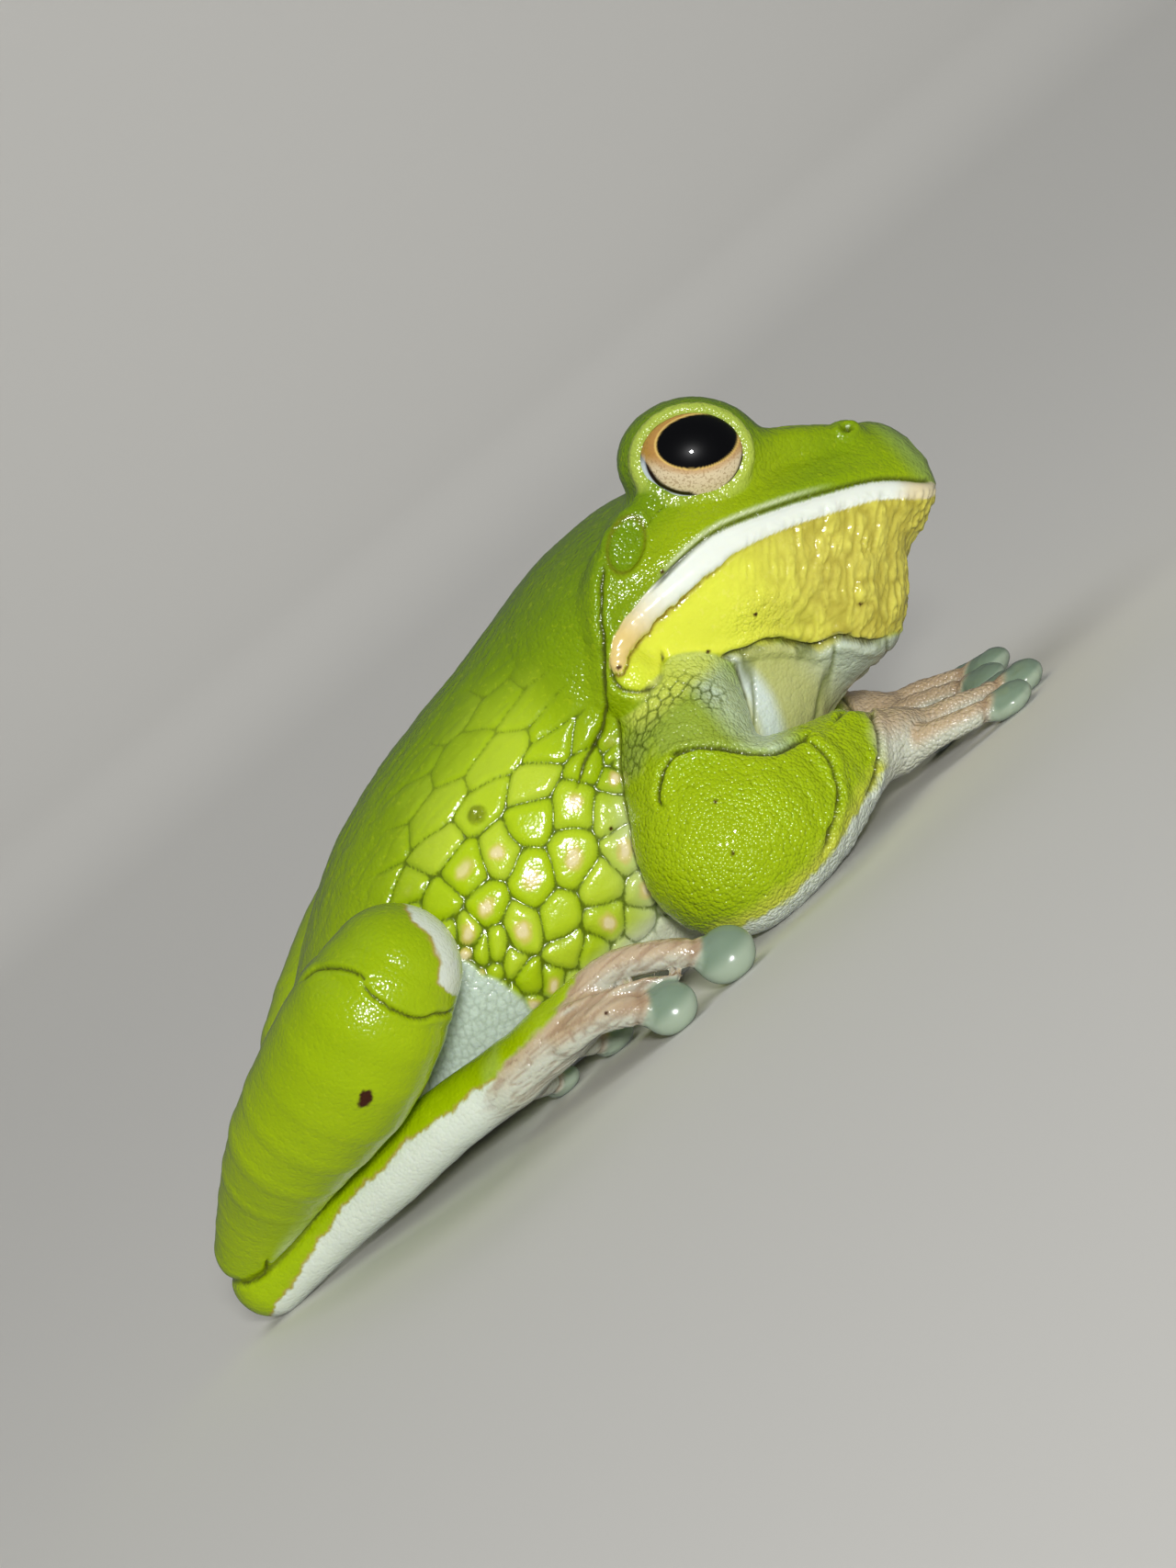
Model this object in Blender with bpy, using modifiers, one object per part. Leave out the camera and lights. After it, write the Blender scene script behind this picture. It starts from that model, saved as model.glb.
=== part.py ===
"""A white-lipped tree frog crouched on a flat floor, at life size.

The frog looks along +X with its left side towards +Y. The animal is blocked out in
balls and tapered limbs, fused into one body, settled on one blended skin, and then
parted with thin cuts where a person would name its parts.
Sizes here are in millimetres and become metres when a mesh is made.
"""

import math

import bmesh
import bpy
import numpy as np
from mathutils import Matrix, Vector

MM = 0.001
GAP = 0.3
FLOOR = 0.0
SKIN_VOXEL = 0.75
SKIN_TRIANGLES = 8900

# The head is turned and rolled a little towards the frog's right.
HEAD_PIVOT = (12.0, 0.0, 33.0)
HEAD_TURN = -3.0
HEAD_ROLL = -3.0

# Upright sections of the trunk: x, half width, top, widest height, bottom.
TORSO_SECTIONS = (
    (-48.0, 2.5, 13.8, 11.5, 9.5),
    (-46.0, 7.5, 16.4, 12.0, 6.0),
    (-42.0, 11.5, 19.2, 12.5, 3.0),
    (-36.0, 15.0, 23.8, 13.5, 1.0),
    (-27.0, 18.0, 30.7, 15.0, -0.5),
    (-18.0, 20.4, 36.0, 16.0, -1.0),
    (-8.0, 21.6, 39.4, 17.0, -1.0),
    (2.0, 21.3, 41.5, 18.0, -1.0),
    (12.0, 19.8, 43.2, 20.0, 1.0),
    (20.0, 18.2, 44.2, 22.0, 4.0),
    (27.0, 16.0, 44.0, 23.0, 7.5),
    (33.0, 12.5, 40.0, 24.0, 10.5),
    (38.0, 8.0, 32.0, 21.0, 13.0),
    (41.5, 2.0, 23.0, 19.0, 16.0),
)

# Upright sections of the head: x, half width, top, mouth height, chin.
HEAD_SECTIONS = (
    (0.0, 5.0, 33.0, 28.0, 24.0),
    (8.0, 13.0, 39.6, 30.0, 20.0),
    (14.0, 17.8, 42.8, 33.0, 21.0),
    (20.0, 19.6, 44.4, 34.4, 21.5),
    (26.0, 20.0, 44.9, 35.4, 20.5),
    (32.0, 19.4, 44.7, 35.5, 18.5),
    (38.0, 17.8, 43.4, 34.6, 17.0),
    (44.0, 15.0, 40.4, 32.8, 16.6),
    (49.0, 12.4, 37.6, 30.4, 18.2),
    (53.0, 10.0, 35.4, 28.2, 19.8),
    (56.0, 7.8, 34.7, 26.2, 20.6),
    (57.8, 6.1, 33.7, 25.2, 21.8),
    (59.2, 4.3, 31.9, 25.6, 23.6),
    (60.0, 2.0, 29.6, 27.4, 25.8),
)

EYE_CENTRE = (40.0, 12.3, 43.7)
EYE_RADII = (6.7, 6.1, 5.8)
EYE_PITCH = 30.0
LID_OPENING = (6.15, 5.1)
LID_RADIUS = 0.8

LIP_DROP = 1.7
LIP_RADIUS = 1.55

# Shallow pits in the head, one on each side: centre, radii and degrees nose down.
NOSTRIL = ((55.1, 4.7, 35.0), (0.9, 0.7, 0.7), 25.0)
EARDRUM = ((27.0, 18.4, 39.4), (3.1, 0.8, 2.1), -35.0)


def smooth_profile(stations, values):
    """A smooth curve through values at the stations that never overshoots them."""
    at = np.array(stations, float)
    value = np.array(values, float)
    step = np.diff(at)
    slope = np.diff(value) / step
    lean = np.empty_like(value)
    lean[0], lean[-1] = slope[0], slope[-1]
    same_way = slope[:-1] * slope[1:] > 0
    mean = 2 * slope[:-1] * slope[1:] / np.where(same_way, slope[:-1] + slope[1:], 1)
    lean[1:-1] = np.where(same_way, mean, 0)

    def read(x):
        x = np.clip(x, at[0], at[-1])
        i = np.clip(np.searchsorted(at, x) - 1, 0, len(step) - 1)
        t = (x - at[i]) / step[i]
        return (
            (1 + 2 * t) * (1 - t) ** 2 * value[i]
            + t * (1 - t) ** 2 * step[i] * lean[i]
            + t * t * (3 - 2 * t) * value[i + 1]
            + t * t * (t - 1) * step[i] * lean[i + 1]
        )

    return read


def smooth_path(points, count, closed=False):
    """Count points on a smooth curve through the given ones, radius and all."""
    points = np.array(points, float)
    if closed:
        padded = np.vstack([points[-1:], points, points[:2]])
        spans = len(points)
    else:
        padded = np.vstack([2 * points[0] - points[1], points, 2 * points[-1] - points[-2]])
        spans = len(points) - 1
    at = np.linspace(0, spans, count)
    i = np.minimum(at.astype(int), spans - 1)
    t = (at - i)[:, None]
    a, b, c, d = padded[i], padded[i + 1], padded[i + 2], padded[i + 3]
    straight = 2 * b + (c - a) * t
    bend = (2 * a - 5 * b + 4 * c - d) * t**2
    twist = (3 * b - a - 3 * c + d) * t**3
    return 0.5 * (straight + bend + twist)


class Limb:
    """A round taper along a smooth curve through rows of x, out, z and radius."""

    def __init__(self, rows, count=9, thin=1.0, thin_axis=(0, 0, 1), closed=False):
        path = smooth_path(rows, count, closed)
        self.centre = path[:, :3]
        self.radius = np.maximum(path[:, 3], 0.1)
        self.thin = thin
        self.axis = np.array(Vector(thin_axis).normalized())
        self.low = (self.centre - self.radius[:, None]).min(0)
        self.high = (self.centre + self.radius[:, None]).max(0)

    def distance(self, p):
        best = np.full(len(p), 99.0)
        for a, b, r0, r1 in zip(self.centre, self.centre[1:], self.radius, self.radius[1:]):
            along = b - a
            t = np.clip((p - a) @ along / max(along @ along, 1e-6), 0, 1)
            away = p - a - t[:, None] * along
            r = r0 + t * (r1 - r0)
            if self.thin == 1:
                d = np.linalg.norm(away, axis=1) - r
            else:
                rise = (away @ self.axis)[:, None] * self.axis
                once = np.linalg.norm(away + rise * (1 / self.thin - 1), axis=1)
                twice = np.linalg.norm(away + rise * (1 / self.thin**2 - 1), axis=1)
                d = once * (once - r) / np.maximum(twice, 1e-6)
            best = np.minimum(best, d)
        return best

    def beads(self):
        turn = Vector((0, 0, 1)).rotation_difference(Vector(self.axis)).to_matrix()
        for a, b, r0, r1 in zip(self.centre, self.centre[1:], self.radius, self.radius[1:]):
            steps = math.ceil(np.linalg.norm(b - a) / (0.45 * r0)) + 1
            for t in np.linspace(0, 1, steps):
                r = r0 + t * (r1 - r0)
                yield a + t * (b - a), (r, r, r * self.thin), turn


class Ball:
    """An ellipsoid, turned by degrees: pitch noses down, lean tips the top outwards."""

    def __init__(self, centre, radii, pitch=0.0, lean=0.0, yaw=0.0):
        self.centre = np.array(centre, float)
        self.radii = np.array(radii, float)
        self.turn = (
            Matrix.Rotation(math.radians(yaw), 3, "Z")
            @ Matrix.Rotation(math.radians(-lean), 3, "X")
            @ Matrix.Rotation(math.radians(pitch), 3, "Y")
        )
        self.matrix = np.array(self.turn)
        reach = np.linalg.norm(self.matrix * self.radii, axis=1)
        self.low, self.high = self.centre - reach, self.centre + reach

    def distance(self, p):
        own = (p - self.centre) @ self.matrix
        once = np.linalg.norm(own / self.radii, axis=1)
        twice = np.linalg.norm(own / self.radii**2, axis=1)
        return once * (once - 1) / np.maximum(twice, 1e-9)

    def beads(self):
        yield self.centre, tuple(self.radii), self.turn


class Loft:
    """Upright rounded sections along x, squarer with a higher power."""

    def __init__(self, rows, upper, lower):
        rows = np.array(rows, float)
        self.start, self.end = rows[0, 0], rows[-1, 0]
        self.wide, self.top, self.level, self.bottom = (
            smooth_profile(rows[:, 0], rows[:, i]) for i in range(1, 5)
        )
        self.upper, self.lower = upper, lower
        self.low = np.array([self.start, -rows[:, 1].max(), rows[:, 4].min()])
        self.high = np.array([self.end, rows[:, 1].max(), rows[:, 2].max()])

    def radial(self, p):
        """How far a point is outside its section, measured from the section's middle."""
        x = np.clip(p[:, 0], self.start, self.end)
        level = self.level(x)
        rise = p[:, 2] - level
        half = np.where(rise > 0, self.top(x) - level, level - self.bottom(x))
        power = np.where(rise > 0, self.upper, self.lower)
        across = np.abs(p[:, 1]) / self.wide(x)
        up = np.abs(rise) / np.maximum(half, 0.3)
        ratio = np.maximum((across**power + up**power) ** (1 / power), 0.05)
        away = np.maximum(np.hypot(p[:, 1], rise), 0.3)
        return away * (1 - 1 / ratio)

    def distance(self, p):
        tiny = 0.05
        here = self.radial(p)
        slope = np.stack([self.radial(p + step) - here for step in np.eye(3) * tiny], 1) / tiny
        d = here / np.maximum(np.linalg.norm(slope, axis=1), 1.0)
        past = np.abs(p[:, 0] - np.clip(p[:, 0], self.start, self.end))
        return np.where(past > 0, np.hypot(np.maximum(d, 0), past), d)

    def beads(self):
        level_turn = Matrix.Identity(3)
        for x in np.arange(self.start + 1.2, self.end - 0.6, 1.6):
            top, bottom = self.top(x), self.bottom(x)
            radii = (2.4, self.wide(x), (top - bottom) / 2)
            yield np.array([x, 0, (top + bottom) / 2]), radii, level_turn


def distance_to(form, p, reach=7.0):
    """Distance near the form, and a large number away from it."""
    near = np.all((p > form.low - reach) & (p < form.high + reach), axis=1)
    d = np.full(len(p), 99.0)
    if near.any():
        d[near] = form.distance(p[near])
    return d


def blend(a, b, k):
    """Smooth union of two distances, with a fillet of about k."""
    h = np.clip(0.5 + 0.5 * (b - a) / k, 0, 1)
    return b + (a - b) * h - k * h * (1 - h)


def blend_all(forms, p):
    """Smooth union of forms, each with the fillet that joins it to those before."""
    d = np.full(len(p), 99.0)
    for form, k in forms:
        d = blend(d, distance_to(form, p), k)
    return d


HEAD = Loft(HEAD_SECTIONS, upper=2.35, lower=2.2)
TORSO = Loft(TORSO_SECTIONS, upper=2.15, lower=2.3)


def eye_ring():
    """The lids' edge: an ellipse laid on the eyeball."""
    pitch = Matrix.Rotation(math.radians(EYE_PITCH), 3, "Y")
    for angle in np.linspace(0, 2 * math.pi, 12, endpoint=False):
        x = LID_OPENING[0] * math.cos(angle)
        z = LID_OPENING[1] * math.sin(angle)
        inside = 1 - (x / EYE_RADII[0]) ** 2 - (z / EYE_RADII[2]) ** 2
        point = pitch @ Vector((x, EYE_RADII[1] * math.sqrt(max(inside, 0.05)), z))
        yield (*(point + Vector(EYE_CENTRE)), LID_RADIUS)


def lip_rows(drop, radius, sink, front):
    """Points along the mouth from its corner to the snout, a drop below the mouth line."""
    rows = []
    for x in (25.0, 30.0, 36.0, 42.0, 48.0, 52.5, 56.0):
        out = float(HEAD.wide(x)) - sink
        rows.append((x - 0.9, out, float(HEAD.level(x)) - drop, radius))
    rows.append((front - 0.7, 3.6, float(HEAD.level(57.8)) - drop, radius))
    rows.append((front, 0.0, float(HEAD.level(58.4)) - drop, radius))
    return rows


LIP_END = [(18.3, 19.6, 29.6, 1.2), (20.5, 19.9, 32.6, 1.5)]
LOWER_LIP = Limb(LIP_END + lip_rows(LIP_DROP, LIP_RADIUS, 1.0, front=57.3), 24)
UPPER_LIP = Limb(lip_rows(-1.5, 1.1, 0.9, front=58.4), 20)

# The fold of skin from behind the eye, over the eardrum and down to the jaw.
EAR_FOLD = Limb([
    (35.0, 14.2, 43.0, 1.3),
    (30.0, 16.3, 42.2, 1.6),
    (25.5, 17.7, 40.6, 1.8),
    (22.0, 18.8, 37.5, 1.8),
    (20.0, 19.3, 33.5, 1.6),
])

FACE = [
    (HEAD, 1.0),
    (Ball((42.0, 0.0, 20.6), (8.6, 11.0, 8.3), pitch=24), 3.5),
    (Ball((39.8, 10.2, 43.5), (8.2, 7.0, 6.7), pitch=EYE_PITCH), 2.4),
    (Limb([(46.0, 9.8, 39.4, 2.1), (50.0, 7.6, 37.2, 1.8), (54.4, 4.8, 34.3, 1.4)]), 2.0),
    (EAR_FOLD, 2.0),
    (Ball((19.2, 19.4, 29.0), (3.2, 2.6, 3.4)), 1.5),
    (LOWER_LIP, 0.8),
    (UPPER_LIP, 1.2),
    (Limb(list(eye_ring()), 25, closed=True), 0.8),
    (Ball((55.0, 4.5, 33.9), (1.6, 1.4, 1.0)), 1.2),
]

UPPER_ARM = Limb([
    (21.5, 13.5, 25.5, 6.0),
    (20.0, 17.5, 22.5, 6.9),
    (17.0, 21.5, 18.0, 7.7),
    (14.8, 24.0, 13.5, 8.3),
])
FOREARM = Limb([
    (14.8, 24.8, 9.9, 10.0),
    (18.0, 24.2, 9.5, 9.6),
    (22.5, 22.4, 8.6, 8.2),
    (27.0, 19.8, 8.2, 6.6),
    (30.6, 17.5, 8.1, 5.4),
])
PALM = Limb([(30.8, 17.0, 7.6, 5.0), (35.0, 15.0, 6.2, 4.6), (38.5, 13.5, 4.6, 3.4)], thin=0.85)
FINGERS = [
    Limb([(36.0, 16.0, 4.2, 2.0), (40.0, 18.0, 3.8, 1.6), (44.0, 18.6, 2.8, 1.35), (47.2, 18.2, 2.0, 1.4)]),
    Limb([(38.0, 14.0, 4.4, 2.0), (43.0, 14.0, 4.2, 1.6), (47.0, 13.4, 2.9, 1.35), (50.2, 12.6, 2.0, 1.4)]),
    Limb([(37.5, 11.6, 4.0, 1.9), (42.0, 10.0, 3.8, 1.5), (45.5, 8.6, 2.7, 1.3), (48.4, 7.2, 1.9, 1.3)]),
    Limb([(35.0, 11.4, 3.8, 2.0), (37.6, 8.4, 3.2, 1.5), (40.0, 5.6, 2.0, 1.3)]),
]
FINGER_DISCS = [
    Ball((48.8, 18.0, 1.5), (2.9, 2.7, 1.6), lean=12),
    Ball((51.6, 12.2, 1.6), (3.0, 2.8, 1.7), lean=10),
    Ball((49.8, 6.4, 1.5), (2.7, 2.5, 1.5), lean=-8),
    Ball((41.0, 4.4, 1.4), (2.3, 2.2, 1.4)),
]

THIGH = Limb([
    (-38.0, 9.0, 13.5, 7.6),
    (-33.5, 18.0, 16.6, 8.2),
    (-27.0, 28.0, 21.0, 7.9),
    (-22.0, 34.5, 23.8, 7.2),
    (-21.2, 36.0, 24.2, 7.0),
])
SHIN = Limb([
    (-21.3, 37.2, 24.3, 7.1),
    (-26.4, 37.0, 22.3, 8.5),
    (-33.2, 32.8, 19.2, 8.7),
    (-41.6, 26.5, 16.1, 7.3),
    (-49.0, 18.5, 12.0, 5.4),
    (-54.2, 13.0, 8.2, 4.3),
], 11)
TARSUS = Limb([
    (-54.8, 12.2, 4.3, 4.5),
    (-46.0, 17.0, 4.7, 3.5),
    (-36.0, 22.5, 5.8, 3.7),
    (-28.0, 26.5, 6.9, 3.8),
    (-19.0, 30.0, 6.8, 3.6),
])
SOLE = Limb([(-19.5, 30.0, 6.8, 3.6), (-13.0, 31.5, 7.2, 4.0), (-8.0, 31.5, 7.2, 3.4)], thin=0.9)
TOES = [
    Limb([(-12.0, 34.5, 6.4, 1.9), (-7.5, 36.6, 6.2, 1.8), (-3.4, 38.2, 4.0, 1.7)]),
    Limb([(-9.0, 32.0, 8.6, 2.2), (-3.5, 33.2, 9.0, 1.9), (1.5, 35.0, 7.0, 1.7), (4.6, 36.0, 4.8, 1.7)]),
    Limb([(-12.0, 29.5, 7.2, 2.0), (-7.0, 27.8, 5.6, 1.7), (-3.2, 26.6, 2.6, 1.5)]),
    Limb([(-15.0, 28.0, 6.0, 1.9), (-12.0, 25.0, 4.2, 1.6), (-9.6, 22.6, 2.2, 1.4)]),
    Limb([(-19.0, 27.5, 4.6, 1.9), (-17.6, 24.6, 3.2, 1.5), (-16.4, 22.0, 2.0, 1.3)]),
]
TOE_DISCS = [
    Ball((-1.3, 38.6, 2.45), (3.1, 2.9, 2.0), lean=55),
    Ball((6.9, 36.6, 2.75), (3.4, 3.2, 2.2), lean=55),
    Ball((-1.6, 26.2, 1.4), (2.8, 2.6, 1.6)),
    Ball((-8.4, 21.2, 1.3), (2.5, 2.4, 1.5)),
    Ball((-15.8, 20.4, 1.2), (2.2, 2.1, 1.4)),
]
WEBS = [
    Limb(
        [(-9.0, 33.0, 7.0, 3.6), (-3.4, 35.6, 5.6, 2.8), (0.6, 36.6, 4.4, 1.6)],
        thin=0.3,
        thin_axis=(0.3, -0.6, 0.8),
    ),
    Limb(
        [(-10.0, 30.0, 7.0, 3.4), (-4.0, 30.6, 5.4, 3.0), (-0.6, 31.0, 4.0, 1.8)],
        thin=0.28,
        thin_axis=(0.2, 0.1, 1),
    ),
    Limb([(-13.0, 28.0, 5.8, 3.0), (-9.0, 25.4, 4.0, 2.2)], thin=0.3, thin_axis=(0, 0.2, 1)),
]

# The left leg, on the far side, is tucked a little further forward.
LEFT_LEG_FORWARD = 5.0

ARM = [(UPPER_ARM, 1.0), (FOREARM, 1.4), (PALM, 1.0)]
ARM += [(finger, 0.8) for finger in FINGERS + FINGER_DISCS]
LEG = [(THIGH, 1.0), (SHIN, 1.0), (TARSUS, 0.7), (SOLE, 1.2)]
LEG += [(web, 0.8) for web in WEBS] + [(toe, 0.8) for toe in TOES + TOE_DISCS]


def head_frame():
    """Turn and place of the head on the neck."""
    turn = Matrix.Rotation(math.radians(HEAD_TURN), 4, "Z") @ Matrix.Rotation(math.radians(HEAD_ROLL), 4, "X")
    pivot = Matrix.Translation(HEAD_PIVOT)
    return pivot @ turn @ pivot.inverted()


HEAD_FRAME = head_frame()


def to_head(p):
    """Points in the head's own upright frame."""
    matrix = np.array(HEAD_FRAME.inverted())
    return p @ matrix[:3, :3].T + matrix[:3, 3]


def to_right(p):
    """Points with both sides folded onto one, as out from the middle plane."""
    return p * (1, 0, 1) + np.abs(p) * (0, 1, 0)


def flesh(p):
    """Distance to the skin of the whole animal."""
    folded = to_right(p)
    to_leg = folded - (p[:, 1:2] > 0) * (LEFT_LEG_FORWARD, 0, 0)
    d = blend(distance_to(TORSO, folded), blend_all(FACE, to_right(to_head(p))), 4.5)
    d = blend(d, blend_all(LEG, to_leg), 1.3)
    return blend(d, blend_all(ARM, folded), 2.0)


def side_frame(side, forward=0.0):
    """The place of one side's limbs, some millimetres forward."""
    return Matrix.Translation((forward, 0, 0)) @ Matrix.Diagonal((1, side, 1, 1))


def unit_ball(fineness):
    """Points and triangles of a ball of radius one."""
    bm = bmesh.new()
    bmesh.ops.create_icosphere(bm, subdivisions=fineness, radius=1)
    points = np.array([v.co[:] for v in bm.verts])
    triangles = np.array([[v.index for v in face.verts] for face in bm.faces])
    bm.free()
    return points, triangles


def fused(name, forms, voxel):
    """One closed skin round balls that fill every form, on one side or on both."""
    balls = {True: unit_ball(3), False: unit_ball(2)}
    points, faces = [], []
    total = 0
    for form, frame, mirrored in forms:
        for centre, radii, turn in form.beads():
            ball, triangles = balls[max(radii) > 6]
            place = Matrix.Translation(Vector(centre)) @ turn.to_4x4() @ Matrix.Diagonal((*radii, 1))
            for side in (1, -1) if mirrored else (1,):
                matrix = np.array(frame @ Matrix.Diagonal((1, side, 1, 1)) @ place)
                points.append(ball @ matrix[:3, :3].T + matrix[:3, 3])
                faces.append((triangles if side == 1 else triangles[:, ::-1]) + total)
                total += len(ball)
    mesh = bpy.data.meshes.new(name)
    mesh.from_pydata(np.concatenate(points), [], np.concatenate(faces))
    block_out = bpy.data.objects.new(name, mesh)
    bpy.context.scene.collection.objects.link(block_out)
    remesh = block_out.modifiers.new("fuse", "REMESH")
    remesh.mode = "VOXEL"
    remesh.voxel_size = voxel
    return baked(block_out)


def baked(item):
    """The same object with its modifiers applied."""
    graph = bpy.context.evaluated_depsgraph_get()
    mesh = bpy.data.meshes.new_from_object(item.evaluated_get(graph))
    item.modifiers.clear()
    old = item.data
    item.data = mesh
    bpy.data.meshes.remove(old)
    return item


def read_points(item):
    flat = np.empty(len(item.data.vertices) * 3, np.float32)
    item.data.vertices.foreach_get("co", flat)
    return flat.reshape(-1, 3).astype(float)


def write_points(item, points):
    item.data.vertices.foreach_set("co", points.astype(np.float32).ravel())
    item.data.update()


def settle(item, distance, rounds=5):
    """Move a mesh onto the surface where the distance is zero, keeping its points even."""
    points = read_points(item)
    pairs = np.empty(len(item.data.edges) * 2, np.int32)
    item.data.edges.foreach_get("vertices", pairs)
    a, b = pairs.reshape(-1, 2).T
    count = np.bincount(np.concatenate([a, b]), minlength=len(points))[:, None]
    tiny = 0.04
    for turn in range(rounds):
        here = distance(points)
        slope = np.stack([distance(points + step) - here for step in np.eye(3) * tiny], 1) / tiny
        size = np.linalg.norm(slope, axis=1, keepdims=True)
        normal = slope / np.maximum(size, 0.2)
        step = np.clip(here[:, None] / np.maximum(size, 0.3), -0.8, 0.8)
        points = points - normal * step
        if turn < rounds - 2:
            total = np.zeros_like(points)
            np.add.at(total, a, points[b])
            np.add.at(total, b, points[a])
            drift = total / count - points
            drift -= (drift * normal).sum(1, keepdims=True) * normal
            points = points + 0.5 * drift
    write_points(item, points)


def thinned(item, triangles):
    """The same shape with fewer triangles."""
    triangulate = item.modifiers.new("triangles", "TRIANGULATE")
    triangulate.min_vertices = 4
    baked(item)
    decimate = item.modifiers.new("thin", "DECIMATE")
    decimate.ratio = min(1.0, triangles / len(item.data.polygons))
    return baked(item)


def modelled(name, forms, distance, voxel, triangles):
    """Forms given as form, frame and mirrored, fused and settled on their blended skin."""
    item = fused(name, forms, voxel)
    settle(item, distance)
    return thinned(item, triangles)


def prism(name, outline, half_width):
    """A side view outline of x and z, as a solid across the middle plane."""
    bm = bmesh.new()
    near = [bm.verts.new((x, -half_width, z)) for x, z in outline]
    bm.faces.new(near)
    side = bmesh.ops.extrude_face_region(bm, geom=bm.faces[:])
    moved = [item for item in side["geom"] if isinstance(item, bmesh.types.BMVert)]
    bmesh.ops.translate(bm, vec=(0, 2 * half_width, 0), verts=moved)
    bmesh.ops.recalc_face_normals(bm, faces=bm.faces[:])
    bmesh.ops.transform(bm, matrix=HEAD_FRAME, verts=bm.verts[:])
    return linked(name, bm)


def linked(name, bm):
    mesh = bpy.data.meshes.new(name)
    bm.to_mesh(mesh)
    bm.free()
    item = bpy.data.objects.new(name, mesh)
    bpy.context.scene.collection.objects.link(item)
    return item


def grown(item, amount):
    """A copy of a closed shape with every face moved out by the amount."""
    bm = bmesh.new()
    bm.from_mesh(item.data)
    bmesh.ops.recalc_face_normals(bm, faces=bm.faces[:])
    bm.normal_update()
    moves = [vert.normal * amount * min(vert.calc_shell_factor(), 2) for vert in bm.verts]
    for vert, move in zip(bm.verts, moves):
        vert.co += move
    return linked(item.name + "_grown", bm)


def boolean(item, cutter, operation):
    """A new object: the item cut, or kept only where it meets the cutter."""
    copy = item.copy()
    copy.data = item.data.copy()
    bpy.context.scene.collection.objects.link(copy)
    cut = copy.modifiers.new("cut", "BOOLEAN")
    cut.operation = operation
    cut.object = cutter
    # The EXACT solver leaves open edges in the shin, the thigh, the throat and an upper arm.
    cut.solver = "MANIFOLD"
    return baked(copy)


def largest_piece(item):
    """Only the biggest closed surface of the mesh, in triangles."""
    bm = bmesh.new()
    bm.from_mesh(item.data)
    bmesh.ops.dissolve_degenerate(bm, dist=0.02, edges=bm.edges[:])
    bmesh.ops.triangulate(bm, faces=bm.faces[:])
    left = set(bm.verts)
    pieces = []
    while left:
        piece = {left.pop()}
        edge = list(piece)
        while edge:
            near = {e.other_vert(vert) for vert in edge for e in vert.link_edges} - piece
            piece |= near
            edge = list(near)
        left -= piece
        pieces.append(piece)
    pieces.sort(key=len)
    scraps = [vert for piece in pieces[:-1] for vert in piece]
    bmesh.ops.delete(bm, geom=scraps, context="VERTS")
    bm.to_mesh(item.data)
    bm.free()


def limb_cutter(name, limbs, frame, fat, voxel, triangles):
    """A solid a little fatter than some limbs, in the frame of their side."""
    fatter = [(form, 1.0) for form in limbs]
    back = np.array(frame.inverted())
    forms = [(form, frame, False) for form in limbs]

    def distance(p):
        return blend_all(fatter, p @ back[:3, :3].T + back[:3, 3]) - fat

    return modelled(name, forms, distance, voxel, triangles)


HEAD_OUTLINE = (
    (17.5, 60.0), (17.5, 35.2), (24.0, 36.0), (30.0, 36.1), (36.0, 35.4), (42.0, 33.6),
    (48.0, 31.2), (52.5, 28.8), (56.0, 26.5), (64.0, 20.8), (64.0, 60.0),
)
THROAT_OUTLINE = (
    (17.2, 42.0), (17.2, 31.0), (22.0, 28.0), (28.0, 25.0), (35.0, 20.5), (40.0, 15.6),
    (44.0, 12.0), (66.0, 12.0), (66.0, 42.0),
)

SIDES = {"right": -1, "left": 1}

LIMB_NODES = (
    ("hand", [PALM] + FINGERS + FINGER_DISCS, 0.9, 1.2, 320),
    ("forearm", [FOREARM], 0.8, 1.6, 160),
    ("upper_arm", [UPPER_ARM], 1.2, 2.0, 120),
    ("foot", [SOLE] + WEBS + TOES + TOE_DISCS, 0.9, 1.2, 400),
    ("tarsus", [TARSUS], 1.0, 1.6, 100),
    ("shin", [SHIN], 1.0, 2.0, 120),
    ("thigh", [THIGH], 1.2, 2.0, 120),
)
LEG_KINDS = ("foot", "tarsus", "shin", "thigh")

COLOURS = {
    "eye": ((0.02, 0.012, 0.006), 0.08),
    "throat": ((0.50, 0.56, 0.08), 0.35),
    "hand": ((0.42, 0.48, 0.20), 0.35),
    "foot": ((0.50, 0.48, 0.28), 0.35),
    "tarsus": ((0.40, 0.47, 0.16), 0.35),
    "skin": ((0.24, 0.38, 0.02), 0.35),
}


def material_for(node):
    kind = next((key for key in COLOURS if node.startswith(key)), "skin")
    found = bpy.data.materials.get(kind)
    if found:
        return found
    colour, roughness = COLOURS[kind]
    material = bpy.data.materials.new(kind)
    material.use_nodes = True
    shader = material.node_tree.nodes["Principled BSDF"]
    shader.inputs["Base Color"].default_value = (*colour, 1)
    shader.inputs["Roughness"].default_value = roughness
    return material


def eyeball(name, side):
    """The right or the left eye, an ellipsoid that the lids close round."""
    bm = bmesh.new()
    pitch = Matrix.Rotation(math.radians(EYE_PITCH), 4, "Y")
    out = Matrix.Rotation(math.radians(90), 4, "X")
    place = Matrix.Translation(EYE_CENTRE) @ pitch @ Matrix.Diagonal((*EYE_RADII, 1)) @ out
    bmesh.ops.create_uvsphere(bm, u_segments=20, v_segments=12, radius=1)
    bmesh.ops.transform(bm, matrix=HEAD_FRAME @ Matrix.Diagonal((1, side, 1, 1)) @ place, verts=bm.verts[:])
    bmesh.ops.recalc_face_normals(bm, faces=bm.faces[:])
    bmesh.ops.triangulate(bm, faces=bm.faces[:])
    return linked(name, bm)


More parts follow.
